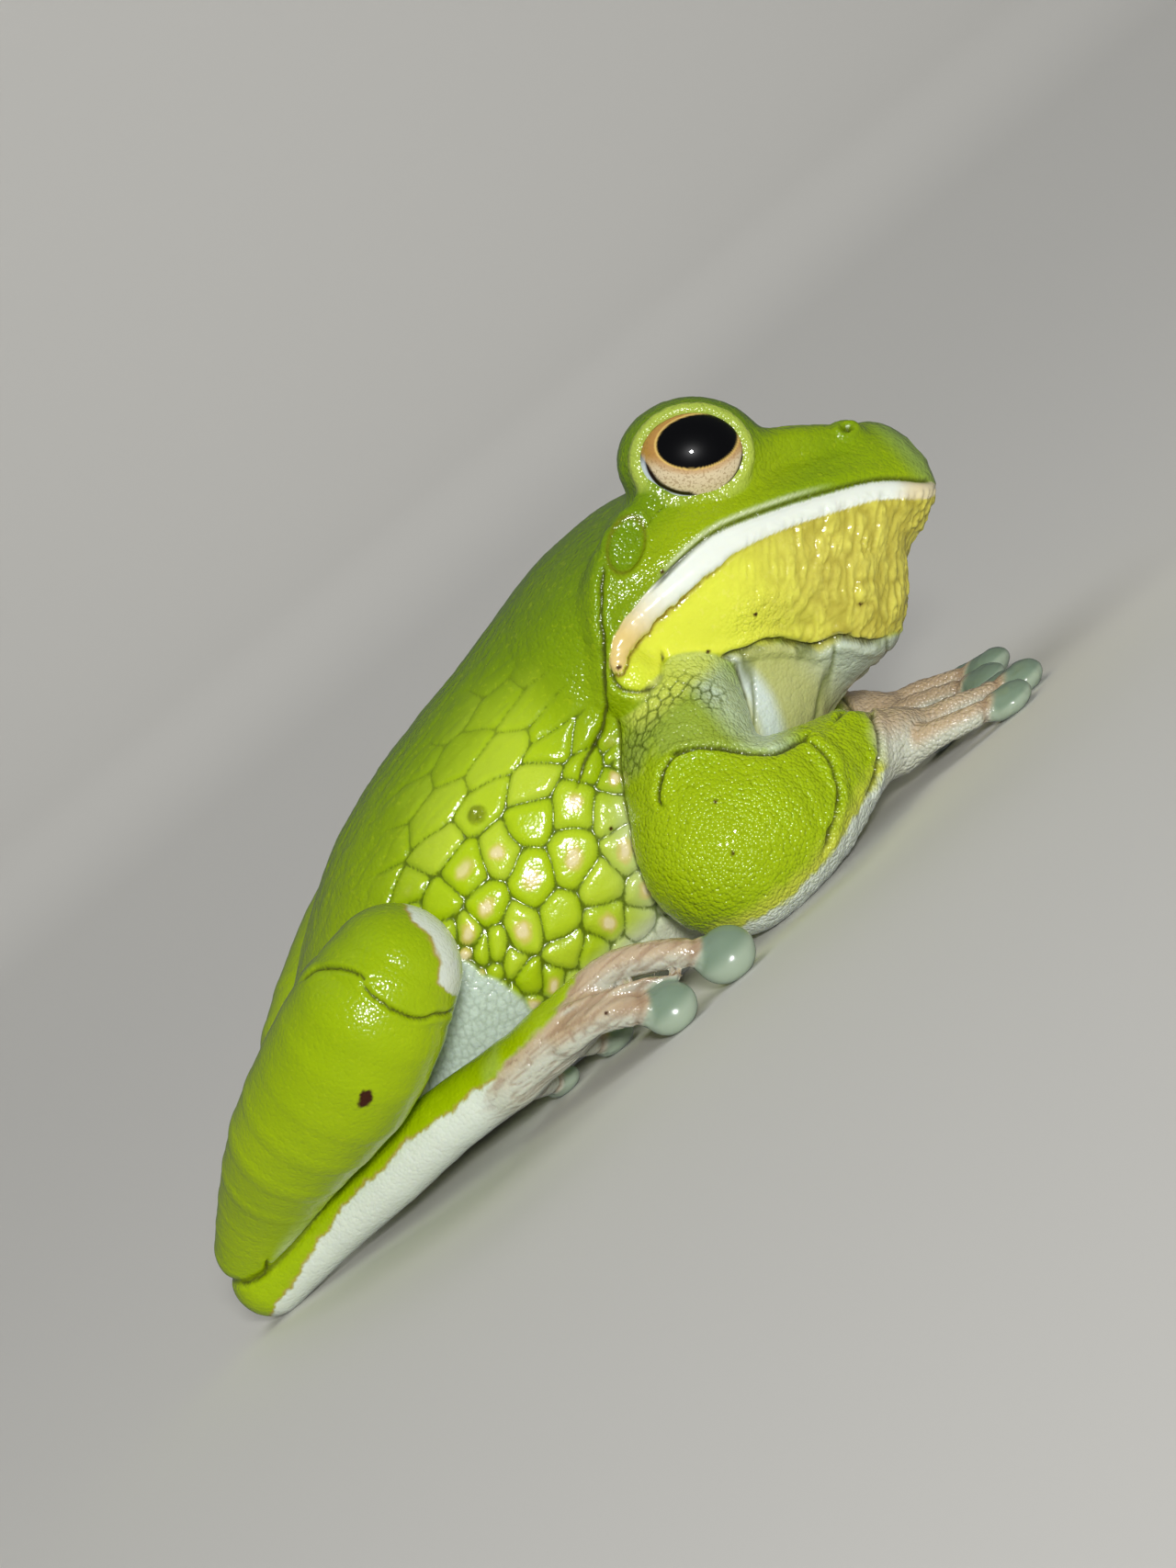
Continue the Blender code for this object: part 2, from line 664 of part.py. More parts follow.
def pitted(head, name, pit, side):
    """The head with one shallow pit sunk in that side."""
    centre, radii, pitch = pit
    turn = Matrix.Rotation(math.radians(pitch), 4, "Y")
    place = Matrix.Translation(centre) @ turn @ Matrix.Diagonal((*radii, 1))
    bm = bmesh.new()
    bmesh.ops.create_icosphere(bm, subdivisions=2, radius=1)
    bmesh.ops.transform(bm, matrix=HEAD_FRAME @ Matrix.Diagonal((1, side, 1, 1)) @ place, verts=bm.verts[:])
    bmesh.ops.recalc_face_normals(bm, faces=bm.faces[:])
    cut = boolean(head, linked(name, bm), "DIFFERENCE")
    bpy.data.objects.remove(head)
    cut.name = "head"
    return cut


def floor_box():
    bm = bmesh.new()
    box = Matrix.Translation((0, 0, 100 + FLOOR)) @ Matrix.Diagonal((400, 400, 200, 1))
    bmesh.ops.create_cube(bm, size=1, matrix=box)
    return linked("above_floor", bm)


def parted(rest, name, cutter):
    """Take the cutter's share out of the rest, with a thin gap round it."""
    piece = boolean(rest, cutter, "INTERSECT")
    piece.name = name
    return piece, boolean(rest, grown(cutter, GAP), "DIFFERENCE")


def build():
    for item in list(bpy.data.objects):
        bpy.data.objects.remove(item)
    here = Matrix.Identity(4)
    forms = [(TORSO, here, False)]
    forms += [(form, HEAD_FRAME, True) for form, _ in FACE]
    forms += [(form, here, True) for form, _ in ARM]
    forms += [(form, side_frame(-1), False) for form, _ in LEG]
    forms += [(form, side_frame(1, LEFT_LEG_FORWARD), False) for form, _ in LEG]
    rest = modelled("whole", forms, flesh, SKIN_VOXEL, SKIN_TRIANGLES)
    rest = boolean(rest, floor_box(), "INTERSECT")
    nodes = []
    for side_name, side in SIDES.items():
        eye = eyeball("eye_" + side_name, side)
        nodes.append(eye)
        rest = boolean(rest, grown(eye, GAP), "DIFFERENCE")
    head, rest = parted(rest, "head", prism("head_cutter", HEAD_OUTLINE, 40))
    for side_name, side in SIDES.items():
        head = pitted(head, "nostril_cutter_" + side_name, NOSTRIL, side)
        head = pitted(head, "eardrum_cutter_" + side_name, EARDRUM, side)
    nodes.append(head)
    for kind, limbs, fat, voxel, triangles in LIMB_NODES:
        for side_name, side in SIDES.items():
            name = kind + "_" + side_name
            forward = LEFT_LEG_FORWARD if side > 0 and kind in LEG_KINDS else 0.0
            frame = side_frame(side, forward)
            cutter = limb_cutter(name + "_cutter", limbs, frame, fat, voxel, triangles)
            piece, rest = parted(rest, name, cutter)
            nodes.append(piece)
        if kind == "upper_arm":
            throat, rest = parted(rest, "throat", prism("throat_cutter", THROAT_OUTLINE, 40))
            nodes.append(throat)
    rest.name = "torso"
    nodes.append(rest)
    finish(nodes)


def finish(nodes):
    """Metres, materials, and a collection that holds the frog alone."""
    for item in list(bpy.data.objects):
        if item not in nodes:
            bpy.data.objects.remove(item)
    frog = bpy.data.collections.new("tree_frog")
    bpy.context.scene.collection.children.link(frog)
    for node in nodes:
        largest_piece(node)
        node.data.transform(Matrix.Scale(MM, 4))
        node.data.materials.clear()
        node.data.materials.append(material_for(node.name))
        node.data.shade_smooth()
        for collection in list(node.users_collection):
            collection.objects.unlink(node)
        frog.objects.link(node)


build()
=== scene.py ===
# %% [markdown]
# # A white-lipped tree frog, still and at life size
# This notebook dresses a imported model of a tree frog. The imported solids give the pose
# and the sizes, and here they get a living skin, wet eyes, a floor, light and a camera.
#
# A frog has no seams, so the skin is made as one piece over all the solids of flesh.
# Only the eyes are pieces of their own.

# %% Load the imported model
import math

import bmesh
import bpy
import numpy as np
from mathutils import Matrix, Vector, kdtree


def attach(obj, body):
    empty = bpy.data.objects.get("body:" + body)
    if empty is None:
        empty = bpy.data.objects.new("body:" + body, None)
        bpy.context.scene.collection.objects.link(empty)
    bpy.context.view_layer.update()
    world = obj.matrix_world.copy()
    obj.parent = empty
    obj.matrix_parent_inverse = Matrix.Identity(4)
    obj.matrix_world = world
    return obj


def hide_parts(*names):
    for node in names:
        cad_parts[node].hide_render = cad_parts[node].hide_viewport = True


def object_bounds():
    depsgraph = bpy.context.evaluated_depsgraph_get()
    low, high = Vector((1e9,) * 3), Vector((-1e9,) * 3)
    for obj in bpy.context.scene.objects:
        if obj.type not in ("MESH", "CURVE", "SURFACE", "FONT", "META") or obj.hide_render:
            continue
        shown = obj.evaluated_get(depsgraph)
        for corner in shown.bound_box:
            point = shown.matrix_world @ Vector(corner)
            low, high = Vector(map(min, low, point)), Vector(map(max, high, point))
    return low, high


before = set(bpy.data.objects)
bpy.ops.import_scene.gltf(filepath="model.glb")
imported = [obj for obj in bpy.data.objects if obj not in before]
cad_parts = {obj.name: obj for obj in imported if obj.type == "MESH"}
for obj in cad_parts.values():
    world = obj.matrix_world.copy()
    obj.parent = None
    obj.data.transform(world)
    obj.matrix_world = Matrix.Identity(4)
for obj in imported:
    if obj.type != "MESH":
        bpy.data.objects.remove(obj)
CAD_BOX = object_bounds()
box_in_mm = [round(x * 1000, 1) for x in (*CAD_BOX[0], *CAD_BOX[1])]
print("solids:", len(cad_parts), "box in mm:", box_in_mm)

# %% [markdown]
# ## Where the picture is taken from
# The frog faces steeply up in the picture. Here it lies on a level floor, so the camera
# is rolled by that slope instead, and sees the frog's right side from a little above.
#
# Folds and markings are placed on an upright sheet through the frog's middle: a point
# of skin is thrown onto that sheet from one fixed point beside the frog. This makes a
# plain side view, in millimetres, where x runs to the snout and z is the height.

# %% The camera's place
MM = 0.001
TARGET = np.array([7.35, 0.0, 22.4])
CAMERA_DISTANCE = 600.0
CAMERA_LIFT = math.radians(6)
CAMERA_ROLL = math.radians(40)
PICTURE_HEIGHT = 177.5
SENSOR = 36.0
TO_CAMERA = np.array([0.0, -math.cos(CAMERA_LIFT), math.sin(CAMERA_LIFT)])
SIDE_POINT = TARGET + CAMERA_DISTANCE * TO_CAMERA


def on_sheet(points):
    """x and z where the line from the side point through each point meets the middle plane."""
    share = -SIDE_POINT[1] / (points[:, 1] - SIDE_POINT[1])
    return (SIDE_POINT + (points - SIDE_POINT) * share[:, None])[:, [0, 2]]


print("the side point, in mm:", SIDE_POINT.round(1))

# %% [markdown]
# ## Forms of flesh
# Muscles and folds are described by how far a point is outside them. A blended union of
# such distances gives one smooth skin, with a fillet wherever two forms meet.
# Three kinds of form are enough: a limb that tapers along a curve, a ball that is longer
# one way than the other, and a loft of upright sections for the torso and the head.
# Each form can tell a point's distance to it, and gives beads, the balls that fill it.


# %% Smooth curves through a few values
def smooth_profile(stations, values):
    """A smooth curve through values at the stations that never overshoots them."""
    at = np.array(stations, float)
    value = np.array(values, float)
    step = np.diff(at)
    slope = np.diff(value) / step
    lean = np.empty_like(value)
    lean[0], lean[-1] = slope[0], slope[-1]
    same_way = slope[:-1] * slope[1:] > 0
    mean = 2 * slope[:-1] * slope[1:] / np.where(same_way, slope[:-1] + slope[1:], 1)
    lean[1:-1] = np.where(same_way, mean, 0)

    def read(x):
        """The curve's value at x, or at its nearer end."""
        x = np.clip(x, at[0], at[-1])
        i = np.clip(np.searchsorted(at, x) - 1, 0, len(step) - 1)
        t = (x - at[i]) / step[i]
        return (
            (1 + 2 * t) * (1 - t) ** 2 * value[i]
            + t * (1 - t) ** 2 * step[i] * lean[i]
            + t * t * (3 - 2 * t) * value[i + 1]
            + t * t * (t - 1) * step[i] * lean[i + 1]
        )

    return read


def smooth_path(points, count, closed=False):
    """Count points on a smooth curve through the given ones, whatever they hold."""
    points = np.array(points, float)
    if closed:
        padded = np.vstack([points[-1:], points, points[:2]])
        spans = len(points)
    else:
        padded = np.vstack([2 * points[0] - points[1], points, 2 * points[-1] - points[-2]])
        spans = len(points) - 1
    at = np.linspace(0, spans, count)
    i = np.minimum(at.astype(int), spans - 1)
    t = (at - i)[:, None]
    a, b, c, d = padded[i], padded[i + 1], padded[i + 2], padded[i + 3]
    straight = 2 * b + (c - a) * t
    bend = (2 * a - 5 * b + 4 * c - d) * t**2
    twist = (3 * b - a - 3 * c + d) * t**3
    return 0.5 * (straight + bend + twist)


print("half way over an arch:", smooth_path([(0, 0), (1, 1), (2, 0)], 3)[1])

# %% A limb
FAR = 99.0
THINNEST = 0.1
BEAD_STEP = 0.45


class Limb:
    """A round taper along a smooth curve through rows of x, out, z and radius."""

    def __init__(self, rows, count=9, thin=1.0, thin_axis=(0, 0, 1), closed=False):
        path = smooth_path(rows, count, closed)
        self.centre = path[:, :3]
        self.radius = np.maximum(path[:, 3], THINNEST)
        self.thin = thin
        self.axis = np.array(Vector(thin_axis).normalized())
        self.low = (self.centre - self.radius[:, None]).min(0)
        self.high = (self.centre + self.radius[:, None]).max(0)

    def distance(self, p):
        """How far each point is outside the limb."""
        best = np.full(len(p), FAR)
        for a, b, r0, r1 in zip(self.centre, self.centre[1:], self.radius, self.radius[1:]):
            along = b - a
            t = np.clip((p - a) @ along / max(along @ along, 1e-6), 0, 1)
            away = p - a - t[:, None] * along
            r = r0 + t * (r1 - r0)
            if self.thin == 1:
                d = np.linalg.norm(away, axis=1) - r
            else:
                rise = (away @ self.axis)[:, None] * self.axis
                once = np.linalg.norm(away + rise * (1 / self.thin - 1), axis=1)
                twice = np.linalg.norm(away + rise * (1 / self.thin**2 - 1), axis=1)
                d = once * (once - r) / np.maximum(twice, 1e-6)
            best = np.minimum(best, d)
        return best

    def beads(self):
        """Centre, radii and turn of each ball that fills the limb."""
        turn = Vector((0, 0, 1)).rotation_difference(Vector(self.axis)).to_matrix()
        for a, b, r0, r1 in zip(self.centre, self.centre[1:], self.radius, self.radius[1:]):
            steps = math.ceil(np.linalg.norm(b - a) / (BEAD_STEP * r0)) + 1
            for t in np.linspace(0, 1, steps):
                r = r0 + t * (r1 - r0)
                yield a + t * (b - a), (r, r, r * self.thin), turn


straight_limb = Limb([(0, 0, 0, 2), (9, 0, 0, 2)])
print("5 mm from the middle of a 2 mm limb:", straight_limb.distance(np.array([[4.0, 5.0, 0.0]])))


# %% A ball
class Ball:
    """An ellipsoid, turned by degrees: pitch noses down, lean tips the top outwards."""

    def __init__(self, centre, radii, pitch=0.0, lean=0.0):
        self.centre = np.array(centre, float)
        self.radii = np.array(radii, float)
        leaned = Matrix.Rotation(math.radians(-lean), 3, "X")
        self.turn = leaned @ Matrix.Rotation(math.radians(pitch), 3, "Y")
        self.matrix = np.array(self.turn)
        reach = np.linalg.norm(self.matrix * self.radii, axis=1)
        self.low, self.high = self.centre - reach, self.centre + reach

    def distance(self, p):
        """How far each point is outside the ball."""
        own = (p - self.centre) @ self.matrix
        once = np.linalg.norm(own / self.radii, axis=1)
        twice = np.linalg.norm(own / self.radii**2, axis=1)
        return once * (once - 1) / np.maximum(twice, 1e-9)

    def beads(self):
        """The ball fills itself."""
        yield self.centre, tuple(self.radii), self.turn


round_ball = Ball((0, 0, 0), (2, 2, 2))
print("5 mm from the middle of a 2 mm ball:", round_ball.distance(np.array([[5.0, 0.0, 0.0]])))

# %% A loft of upright sections
SLICE_STEP = 1.6
SLICE_HALF = 2.4
FIRST_SLICE = 1.2
LAST_SLICE = 0.6
LEAST_HALF = 0.3


class Loft:
    """Upright rounded sections along x, squarer with a higher power."""

    def __init__(self, rows, upper, lower):
        rows = np.array(rows, float)
        self.start, self.end = rows[0, 0], rows[-1, 0]
        self.wide, self.top, self.level, self.bottom = (
            smooth_profile(rows[:, 0], rows[:, i]) for i in range(1, 5)
        )
        self.upper, self.lower = upper, lower
        self.low = np.array([self.start, -rows[:, 1].max(), rows[:, 4].min()])
        self.high = np.array([self.end, rows[:, 1].max(), rows[:, 2].max()])

    def radial(self, p):
        """How far a point is outside its section, measured from the section's middle."""
        x = np.clip(p[:, 0], self.start, self.end)
        level = self.level(x)
        rise = p[:, 2] - level
        half = np.where(rise > 0, self.top(x) - level, level - self.bottom(x))
        power = np.where(rise > 0, self.upper, self.lower)
        across = np.abs(p[:, 1]) / self.wide(x)
        up = np.abs(rise) / np.maximum(half, LEAST_HALF)
        ratio = np.maximum((across**power + up**power) ** (1 / power), 0.05)
        away = np.maximum(np.hypot(p[:, 1], rise), LEAST_HALF)
        return away * (1 - 1 / ratio)

    def distance(self, p):
        """How far each point is outside the loft."""
        tiny = 0.05
        here = self.radial(p)
        slope = np.stack([self.radial(p + step) - here for step in np.eye(3) * tiny], 1) / tiny
        d = here / np.maximum(np.linalg.norm(slope, axis=1), 1.0)
        past = np.abs(p[:, 0] - np.clip(p[:, 0], self.start, self.end))
        return np.where(past > 0, np.hypot(np.maximum(d, 0), past), d)

    def beads(self):
        """Centre, radii and turn of each flat ball that fills the loft."""
        level_turn = Matrix.Identity(3)
        for x in np.arange(self.start + FIRST_SLICE, self.end - LAST_SLICE, SLICE_STEP):
            top, bottom = self.top(x), self.bottom(x)
            radii = (SLICE_HALF, self.wide(x), (top - bottom) / 2)
            yield np.array([x, 0, (top + bottom) / 2]), radii, level_turn


cone = Loft([(0, 2, 2, 0, -2), (10, 4, 4, 0, -4)], upper=2, lower=2)
print("half width in the middle of a cone:", cone.wide(5.0))


# %% Blending forms
def distance_to(form, p, reach=7.0):
    """Distance near the form, and a large number away from it."""
    near = np.all((p > form.low - reach) & (p < form.high + reach), axis=1)
    d = np.full(len(p), FAR)
    if near.any():
        d[near] = form.distance(p[near])
    return d


def blend(a, b, k):
    """Smooth union of two distances, with a fillet of about k."""
    h = np.clip(0.5 + 0.5 * (b - a) / k, 0, 1)
    return b + (a - b) * h - k * h * (1 - h)


def blend_all(forms, p):
    """Smooth union of forms, each with the fillet that joins it to those before."""
    d = np.full(len(p), FAR)
    for form, k in forms:
        d = blend(d, distance_to(form, p), k)
    return d


print("a point 1 mm from two forms is this near to their 2 mm fillet:", blend(1.0, 1.0, 2.0))

# %% [markdown]
# ## The frog's own sizes
# These are the same sizes as in the solids, in millimetres. Both sides are alike, so each
# form is given once, for the left side. The torso and the head are lofts, because their
# outline in the picture gives the top and the bottom of every section.

# %% Torso and head
# Upright sections of the torso: x, half width, top, widest height, bottom.
TORSO_SECTIONS = (
    (-48.0, 2.5, 13.8, 11.5, 9.5),
    (-46.0, 7.5, 16.4, 12.0, 6.0),
    (-42.0, 11.5, 19.2, 12.5, 3.0),
    (-36.0, 15.0, 23.8, 13.5, 1.0),
    (-27.0, 18.0, 30.7, 15.0, -0.5),
    (-18.0, 20.4, 36.0, 16.0, -1.0),
    (-8.0, 21.6, 39.4, 17.0, -1.0),
    (2.0, 21.3, 41.5, 18.0, -1.0),
    (12.0, 19.8, 43.2, 20.0, 1.0),
    (20.0, 18.2, 44.2, 22.0, 4.0),
    (27.0, 16.0, 44.0, 23.0, 7.5),
    (33.0, 12.5, 40.0, 24.0, 10.5),
    (38.0, 8.0, 32.0, 21.0, 13.0),
    (41.5, 2.0, 23.0, 19.0, 16.0),
)

# Upright sections of the head: x, half width, top, mouth height, chin.
HEAD_SECTIONS = (
    (0.0, 5.0, 33.0, 28.0, 24.0),
    (8.0, 13.0, 39.6, 30.0, 20.0),
    (14.0, 17.8, 42.8, 33.0, 21.0),
    (20.0, 19.6, 44.4, 34.4, 21.5),
    (26.0, 20.0, 44.9, 35.4, 20.5),
    (32.0, 19.4, 44.7, 35.5, 18.5),
    (38.0, 17.8, 43.4, 34.6, 17.0),
    (44.0, 15.0, 40.4, 32.8, 16.6),
    (49.0, 12.4, 37.6, 30.4, 18.2),
    (53.0, 10.0, 35.4, 28.2, 19.8),
    (56.0, 7.8, 34.7, 26.2, 20.6),
    (57.8, 6.1, 33.7, 25.2, 21.8),
    (59.2, 4.3, 31.9, 25.6, 23.6),
    (60.0, 2.0, 29.6, 27.4, 25.8),
)

# The head is turned and rolled a little towards the frog's right.
HEAD_PIVOT = (12.0, 0.0, 33.0)
HEAD_TURN = -3.0
HEAD_ROLL = -3.0

EYE_CENTRE = (40.0, 12.3, 43.7)
EYE_RADII = (6.7, 6.1, 5.8)
EYE_PITCH = 30.0
LID_OPENING = (6.15, 5.1)
LID_RADIUS = 0.8

HEAD = Loft(HEAD_SECTIONS, upper=2.35, lower=2.2)
TORSO = Loft(TORSO_SECTIONS, upper=2.15, lower=2.3)
print("torso and head run from x =", TORSO.start, "to", HEAD.end, "mm")

# %% [markdown]
# ### Face
# The head is broad and flat. An eye bulges from each side in a ring of lids, a thick lip runs
# along the lower jaw, and a fold of skin runs from the eye over the eardrum. All this could be
# sculpted by hand. As forms with sizes they blend into the head, and stay easy to move.


# %% Lids, lips and folds of the face
def eye_ring():
    """The lids' edge: an ellipse laid on the eyeball."""
    pitch = Matrix.Rotation(math.radians(EYE_PITCH), 3, "Y")
    for angle in np.linspace(0, 2 * math.pi, 12, endpoint=False):
        x = LID_OPENING[0] * math.cos(angle)
        z = LID_OPENING[1] * math.sin(angle)
        inside = 1 - (x / EYE_RADII[0]) ** 2 - (z / EYE_RADII[2]) ** 2
        point = pitch @ Vector((x, EYE_RADII[1] * math.sqrt(max(inside, 0.05)), z))
        yield (*(point + Vector(EYE_CENTRE)), LID_RADIUS)


LIP_STATIONS = (25.0, 30.0, 36.0, 42.0, 48.0, 52.5, 56.0)
LIP_SHIFT = 0.9


def lip_rows(drop, radius, sink, front):
    """Points along the mouth from its corner to the snout, a drop below the mouth line."""
    rows = []
    for x in LIP_STATIONS:
        out = float(HEAD.wide(x)) - sink
        rows.append((x - LIP_SHIFT, out, float(HEAD.level(x)) - drop, radius))
    rows.append((front - 0.7, 3.6, float(HEAD.level(57.8)) - drop, radius))
    rows.append((front, 0.0, float(HEAD.level(58.4)) - drop, radius))
    return rows


LIP_END = [(18.3, 19.6, 29.6, 1.2), (20.5, 19.9, 32.6, 1.5)]
LOWER_LIP = Limb(LIP_END + lip_rows(1.7, 1.55, 1.0, front=57.3), 24)
UPPER_LIP = Limb(lip_rows(-1.5, 1.1, 0.9, front=58.4), 20)
LID_RING = Limb(list(eye_ring()), 25, closed=True)

# The fold of skin from behind the eye, over the eardrum and down to the jaw.
EAR_FOLD = Limb([
    (35.0, 14.2, 43.0, 1.3),
    (30.0, 16.3, 42.2, 1.6),
    (25.5, 17.7, 40.6, 1.8),
    (22.0, 18.8, 37.5, 1.8),
    (20.0, 19.3, 33.5, 1.6),
])

FACE = [
    (HEAD, 1.0),
    (Ball((42.0, 0.0, 20.6), (8.6, 11.0, 8.3), pitch=24), 3.5),
    (Ball((39.8, 10.2, 43.5), (8.2, 7.0, 6.7), pitch=EYE_PITCH), 2.4),
    (Limb([(46.0, 9.8, 39.4, 2.1), (50.0, 7.6, 37.2, 1.8), (54.4, 4.8, 34.3, 1.4)]), 2.0),
    (EAR_FOLD, 2.0),
    (Ball((19.2, 19.4, 29.0), (3.2, 2.6, 3.4)), 1.5),
    (LOWER_LIP, 0.8),
    (UPPER_LIP, 1.2),
    (LID_RING, 0.8),
    (Ball((55.0, 4.5, 33.9), (1.6, 1.4, 1.0)), 1.2),
]
print("forms in the face:", len(FACE))

# %% [markdown]
# ### Arms
# The upper arm comes down from the shoulder, the thick forearm lies on the floor, and each
# finger ends in a round disc. A limb along a curve gives every bone and muscle its taper, and
# a flat ball gives a disc, so a few rows of numbers are enough.

# %% Arms and hands
UPPER_ARM = Limb([
    (21.5, 13.5, 25.5, 6.0),
    (20.0, 17.5, 22.5, 6.9),
    (17.0, 21.5, 18.0, 7.7),
    (14.8, 24.0, 13.5, 8.3),
])
FOREARM = Limb([
    (14.8, 24.8, 9.9, 10.0),
    (18.0, 24.2, 9.5, 9.6),
    (22.5, 22.4, 8.6, 8.2),
    (27.0, 19.8, 8.2, 6.6),
    (30.6, 17.5, 8.1, 5.4),
])
PALM = Limb([(30.8, 17.0, 7.6, 5.0), (35.0, 15.0, 6.2, 4.6), (38.5, 13.5, 4.6, 3.4)], thin=0.85)
FINGER_ROWS = (
    [(36.0, 16.0, 4.2, 2.0), (40.0, 18.0, 3.8, 1.6), (44.0, 18.6, 2.8, 1.35), (47.2, 18.2, 2.0, 1.4)],
    [(38.0, 14.0, 4.4, 2.0), (43.0, 14.0, 4.2, 1.6), (47.0, 13.4, 2.9, 1.35), (50.2, 12.6, 2.0, 1.4)],
    [(37.5, 11.6, 4.0, 1.9), (42.0, 10.0, 3.8, 1.5), (45.5, 8.6, 2.7, 1.3), (48.4, 7.2, 1.9, 1.3)],
    [(35.0, 11.4, 3.8, 2.0), (37.6, 8.4, 3.2, 1.5), (40.0, 5.6, 2.0, 1.3)],
)
FINGERS = [Limb(rows) for rows in FINGER_ROWS]
FINGER_DISCS = [
    Ball((48.8, 18.0, 1.5), (2.9, 2.7, 1.6), lean=12),
    Ball((51.6, 12.2, 1.6), (3.0, 2.8, 1.7), lean=10),
    Ball((49.8, 6.4, 1.5), (2.7, 2.5, 1.5), lean=-8),
    Ball((41.0, 4.4, 1.4), (2.3, 2.2, 1.4)),
]
print("fingers on a hand:", len(FINGERS), "and discs:", len(FINGER_DISCS))

# %% [markdown]
# ### Legs
# A resting frog folds its leg in three: the thigh, the shin and the long ankle called the
# tarsus. The toes end in discs as well. Limbs pressed thin make the webs between the toes,
# which is simpler than a sheet, because a form always has an inside to blend with.

# %% Thigh, shin, tarsus and sole
THIGH = Limb([
    (-38.0, 9.0, 13.5, 7.6),
    (-33.5, 18.0, 16.6, 8.2),
    (-27.0, 28.0, 21.0, 7.9),
    (-22.0, 34.5, 23.8, 7.2),
    (-21.2, 36.0, 24.2, 7.0),
])
SHIN = Limb([
    (-21.3, 37.2, 24.3, 7.1),
    (-26.4, 37.0, 22.3, 8.5),
    (-33.2, 32.8, 19.2, 8.7),
    (-41.6, 26.5, 16.1, 7.3),
    (-49.0, 18.5, 12.0, 5.4),
    (-54.2, 13.0, 8.2, 4.3),
], 11)
TARSUS = Limb([
    (-54.8, 12.2, 4.3, 4.5),
    (-46.0, 17.0, 4.7, 3.5),
    (-36.0, 22.5, 5.8, 3.7),
    (-28.0, 26.5, 6.9, 3.8),
    (-19.0, 30.0, 6.8, 3.6),
])
SOLE = Limb([(-19.5, 30.0, 6.8, 3.6), (-13.0, 31.5, 7.2, 4.0), (-8.0, 31.5, 7.2, 3.4)], thin=0.9)
print("thickest radius of thigh and shin:", [limb.radius.max().round(1) for limb in (THIGH, SHIN)])

# %% Toes, discs and webs
TOE_ROWS = (
    [(-12.0, 34.5, 6.4, 1.9), (-7.5, 36.6, 6.2, 1.8), (-3.4, 38.2, 4.0, 1.7)],
    [(-9.0, 32.0, 8.6, 2.2), (-3.5, 33.2, 9.0, 1.9), (1.5, 35.0, 7.0, 1.7), (4.6, 36.0, 4.8, 1.7)],
    [(-12.0, 29.5, 7.2, 2.0), (-7.0, 27.8, 5.6, 1.7), (-3.2, 26.6, 2.6, 1.5)],
    [(-15.0, 28.0, 6.0, 1.9), (-12.0, 25.0, 4.2, 1.6), (-9.6, 22.6, 2.2, 1.4)],
    [(-19.0, 27.5, 4.6, 1.9), (-17.6, 24.6, 3.2, 1.5), (-16.4, 22.0, 2.0, 1.3)],
)
TOES = [Limb(rows) for rows in TOE_ROWS]
TOE_DISCS = [
    Ball((-1.3, 38.6, 2.45), (3.1, 2.9, 2.0), lean=55),
    Ball((6.9, 36.6, 2.75), (3.4, 3.2, 2.2), lean=55),
    Ball((-1.6, 26.2, 1.4), (2.8, 2.6, 1.6)),
    Ball((-8.4, 21.2, 1.3), (2.5, 2.4, 1.5)),
    Ball((-15.8, 20.4, 1.2), (2.2, 2.1, 1.4)),
]
WEBS = [
    Limb(
        [(-9.0, 33.0, 7.0, 3.6), (-3.4, 35.6, 5.6, 2.8), (0.6, 36.6, 4.4, 1.6)],
        thin=0.3,
        thin_axis=(0.3, -0.6, 0.8),
    ),
    Limb(
        [(-10.0, 30.0, 7.0, 3.4), (-4.0, 30.6, 5.4, 3.0), (-0.6, 31.0, 4.0, 1.8)],
        thin=0.28,
        thin_axis=(0.2, 0.1, 1),
    ),
    Limb([(-13.0, 28.0, 5.8, 3.0), (-9.0, 25.4, 4.0, 2.2)], thin=0.3, thin_axis=(0, 0.2, 1)),
]

print("toes on a foot:", len(TOES), "and webs:", len(WEBS))

# %% Forms of an arm and of a leg
# The left leg, on the far side, is tucked a little further forward.
LEFT_LEG_FORWARD = 5.0

ARM = [(UPPER_ARM, 1.0), (FOREARM, 1.4), (PALM, 1.0)]
ARM += [(finger, 0.8) for finger in FINGERS + FINGER_DISCS]
LEG = [(THIGH, 1.0), (SHIN, 1.0), (TARSUS, 0.7), (SOLE, 1.2)]
LEG += [(web, 0.8) for web in WEBS] + [(toe, 0.8) for toe in TOES + TOE_DISCS]
print("forms:", 1 + len(FACE) + len(ARM) + len(LEG))

# %% [markdown]
# ### One distance for the whole frog
# The head sits a little turned on the neck, so its forms live in a frame of their own. A
# point is folded onto one side before it is measured, because both sides are alike. All
# distances are then blended into one: 0 on the skin, and less than 0 in the flesh.


# %% Distance to the whole skin
def head_frame():
    """Turn and place of the head on the neck."""
    turn = Matrix.Rotation(math.radians(HEAD_TURN), 4, "Z")
    roll = Matrix.Rotation(math.radians(HEAD_ROLL), 4, "X")
    pivot = Matrix.Translation(HEAD_PIVOT)
    return pivot @ (turn @ roll) @ pivot.inverted()


HEAD_FRAME = head_frame()


def moved(points, matrix):
    """Rows of points, turned and shifted by a matrix."""
    matrix = np.array(matrix)
    return points @ matrix[:3, :3].T + matrix[:3, 3]


def folded(p, side=1):
    """Points with both sides folded onto one, left for 1 and right for -1."""
    return p * (1, 0, 1) + side * np.abs(p) * (0, 1, 0)


def to_leg(p):
    """Points folded onto the left side, with the left leg as far back as the right one."""
    return folded(p) - (p[:, 1:2] > 0) * (LEFT_LEG_FORWARD, 0, 0)


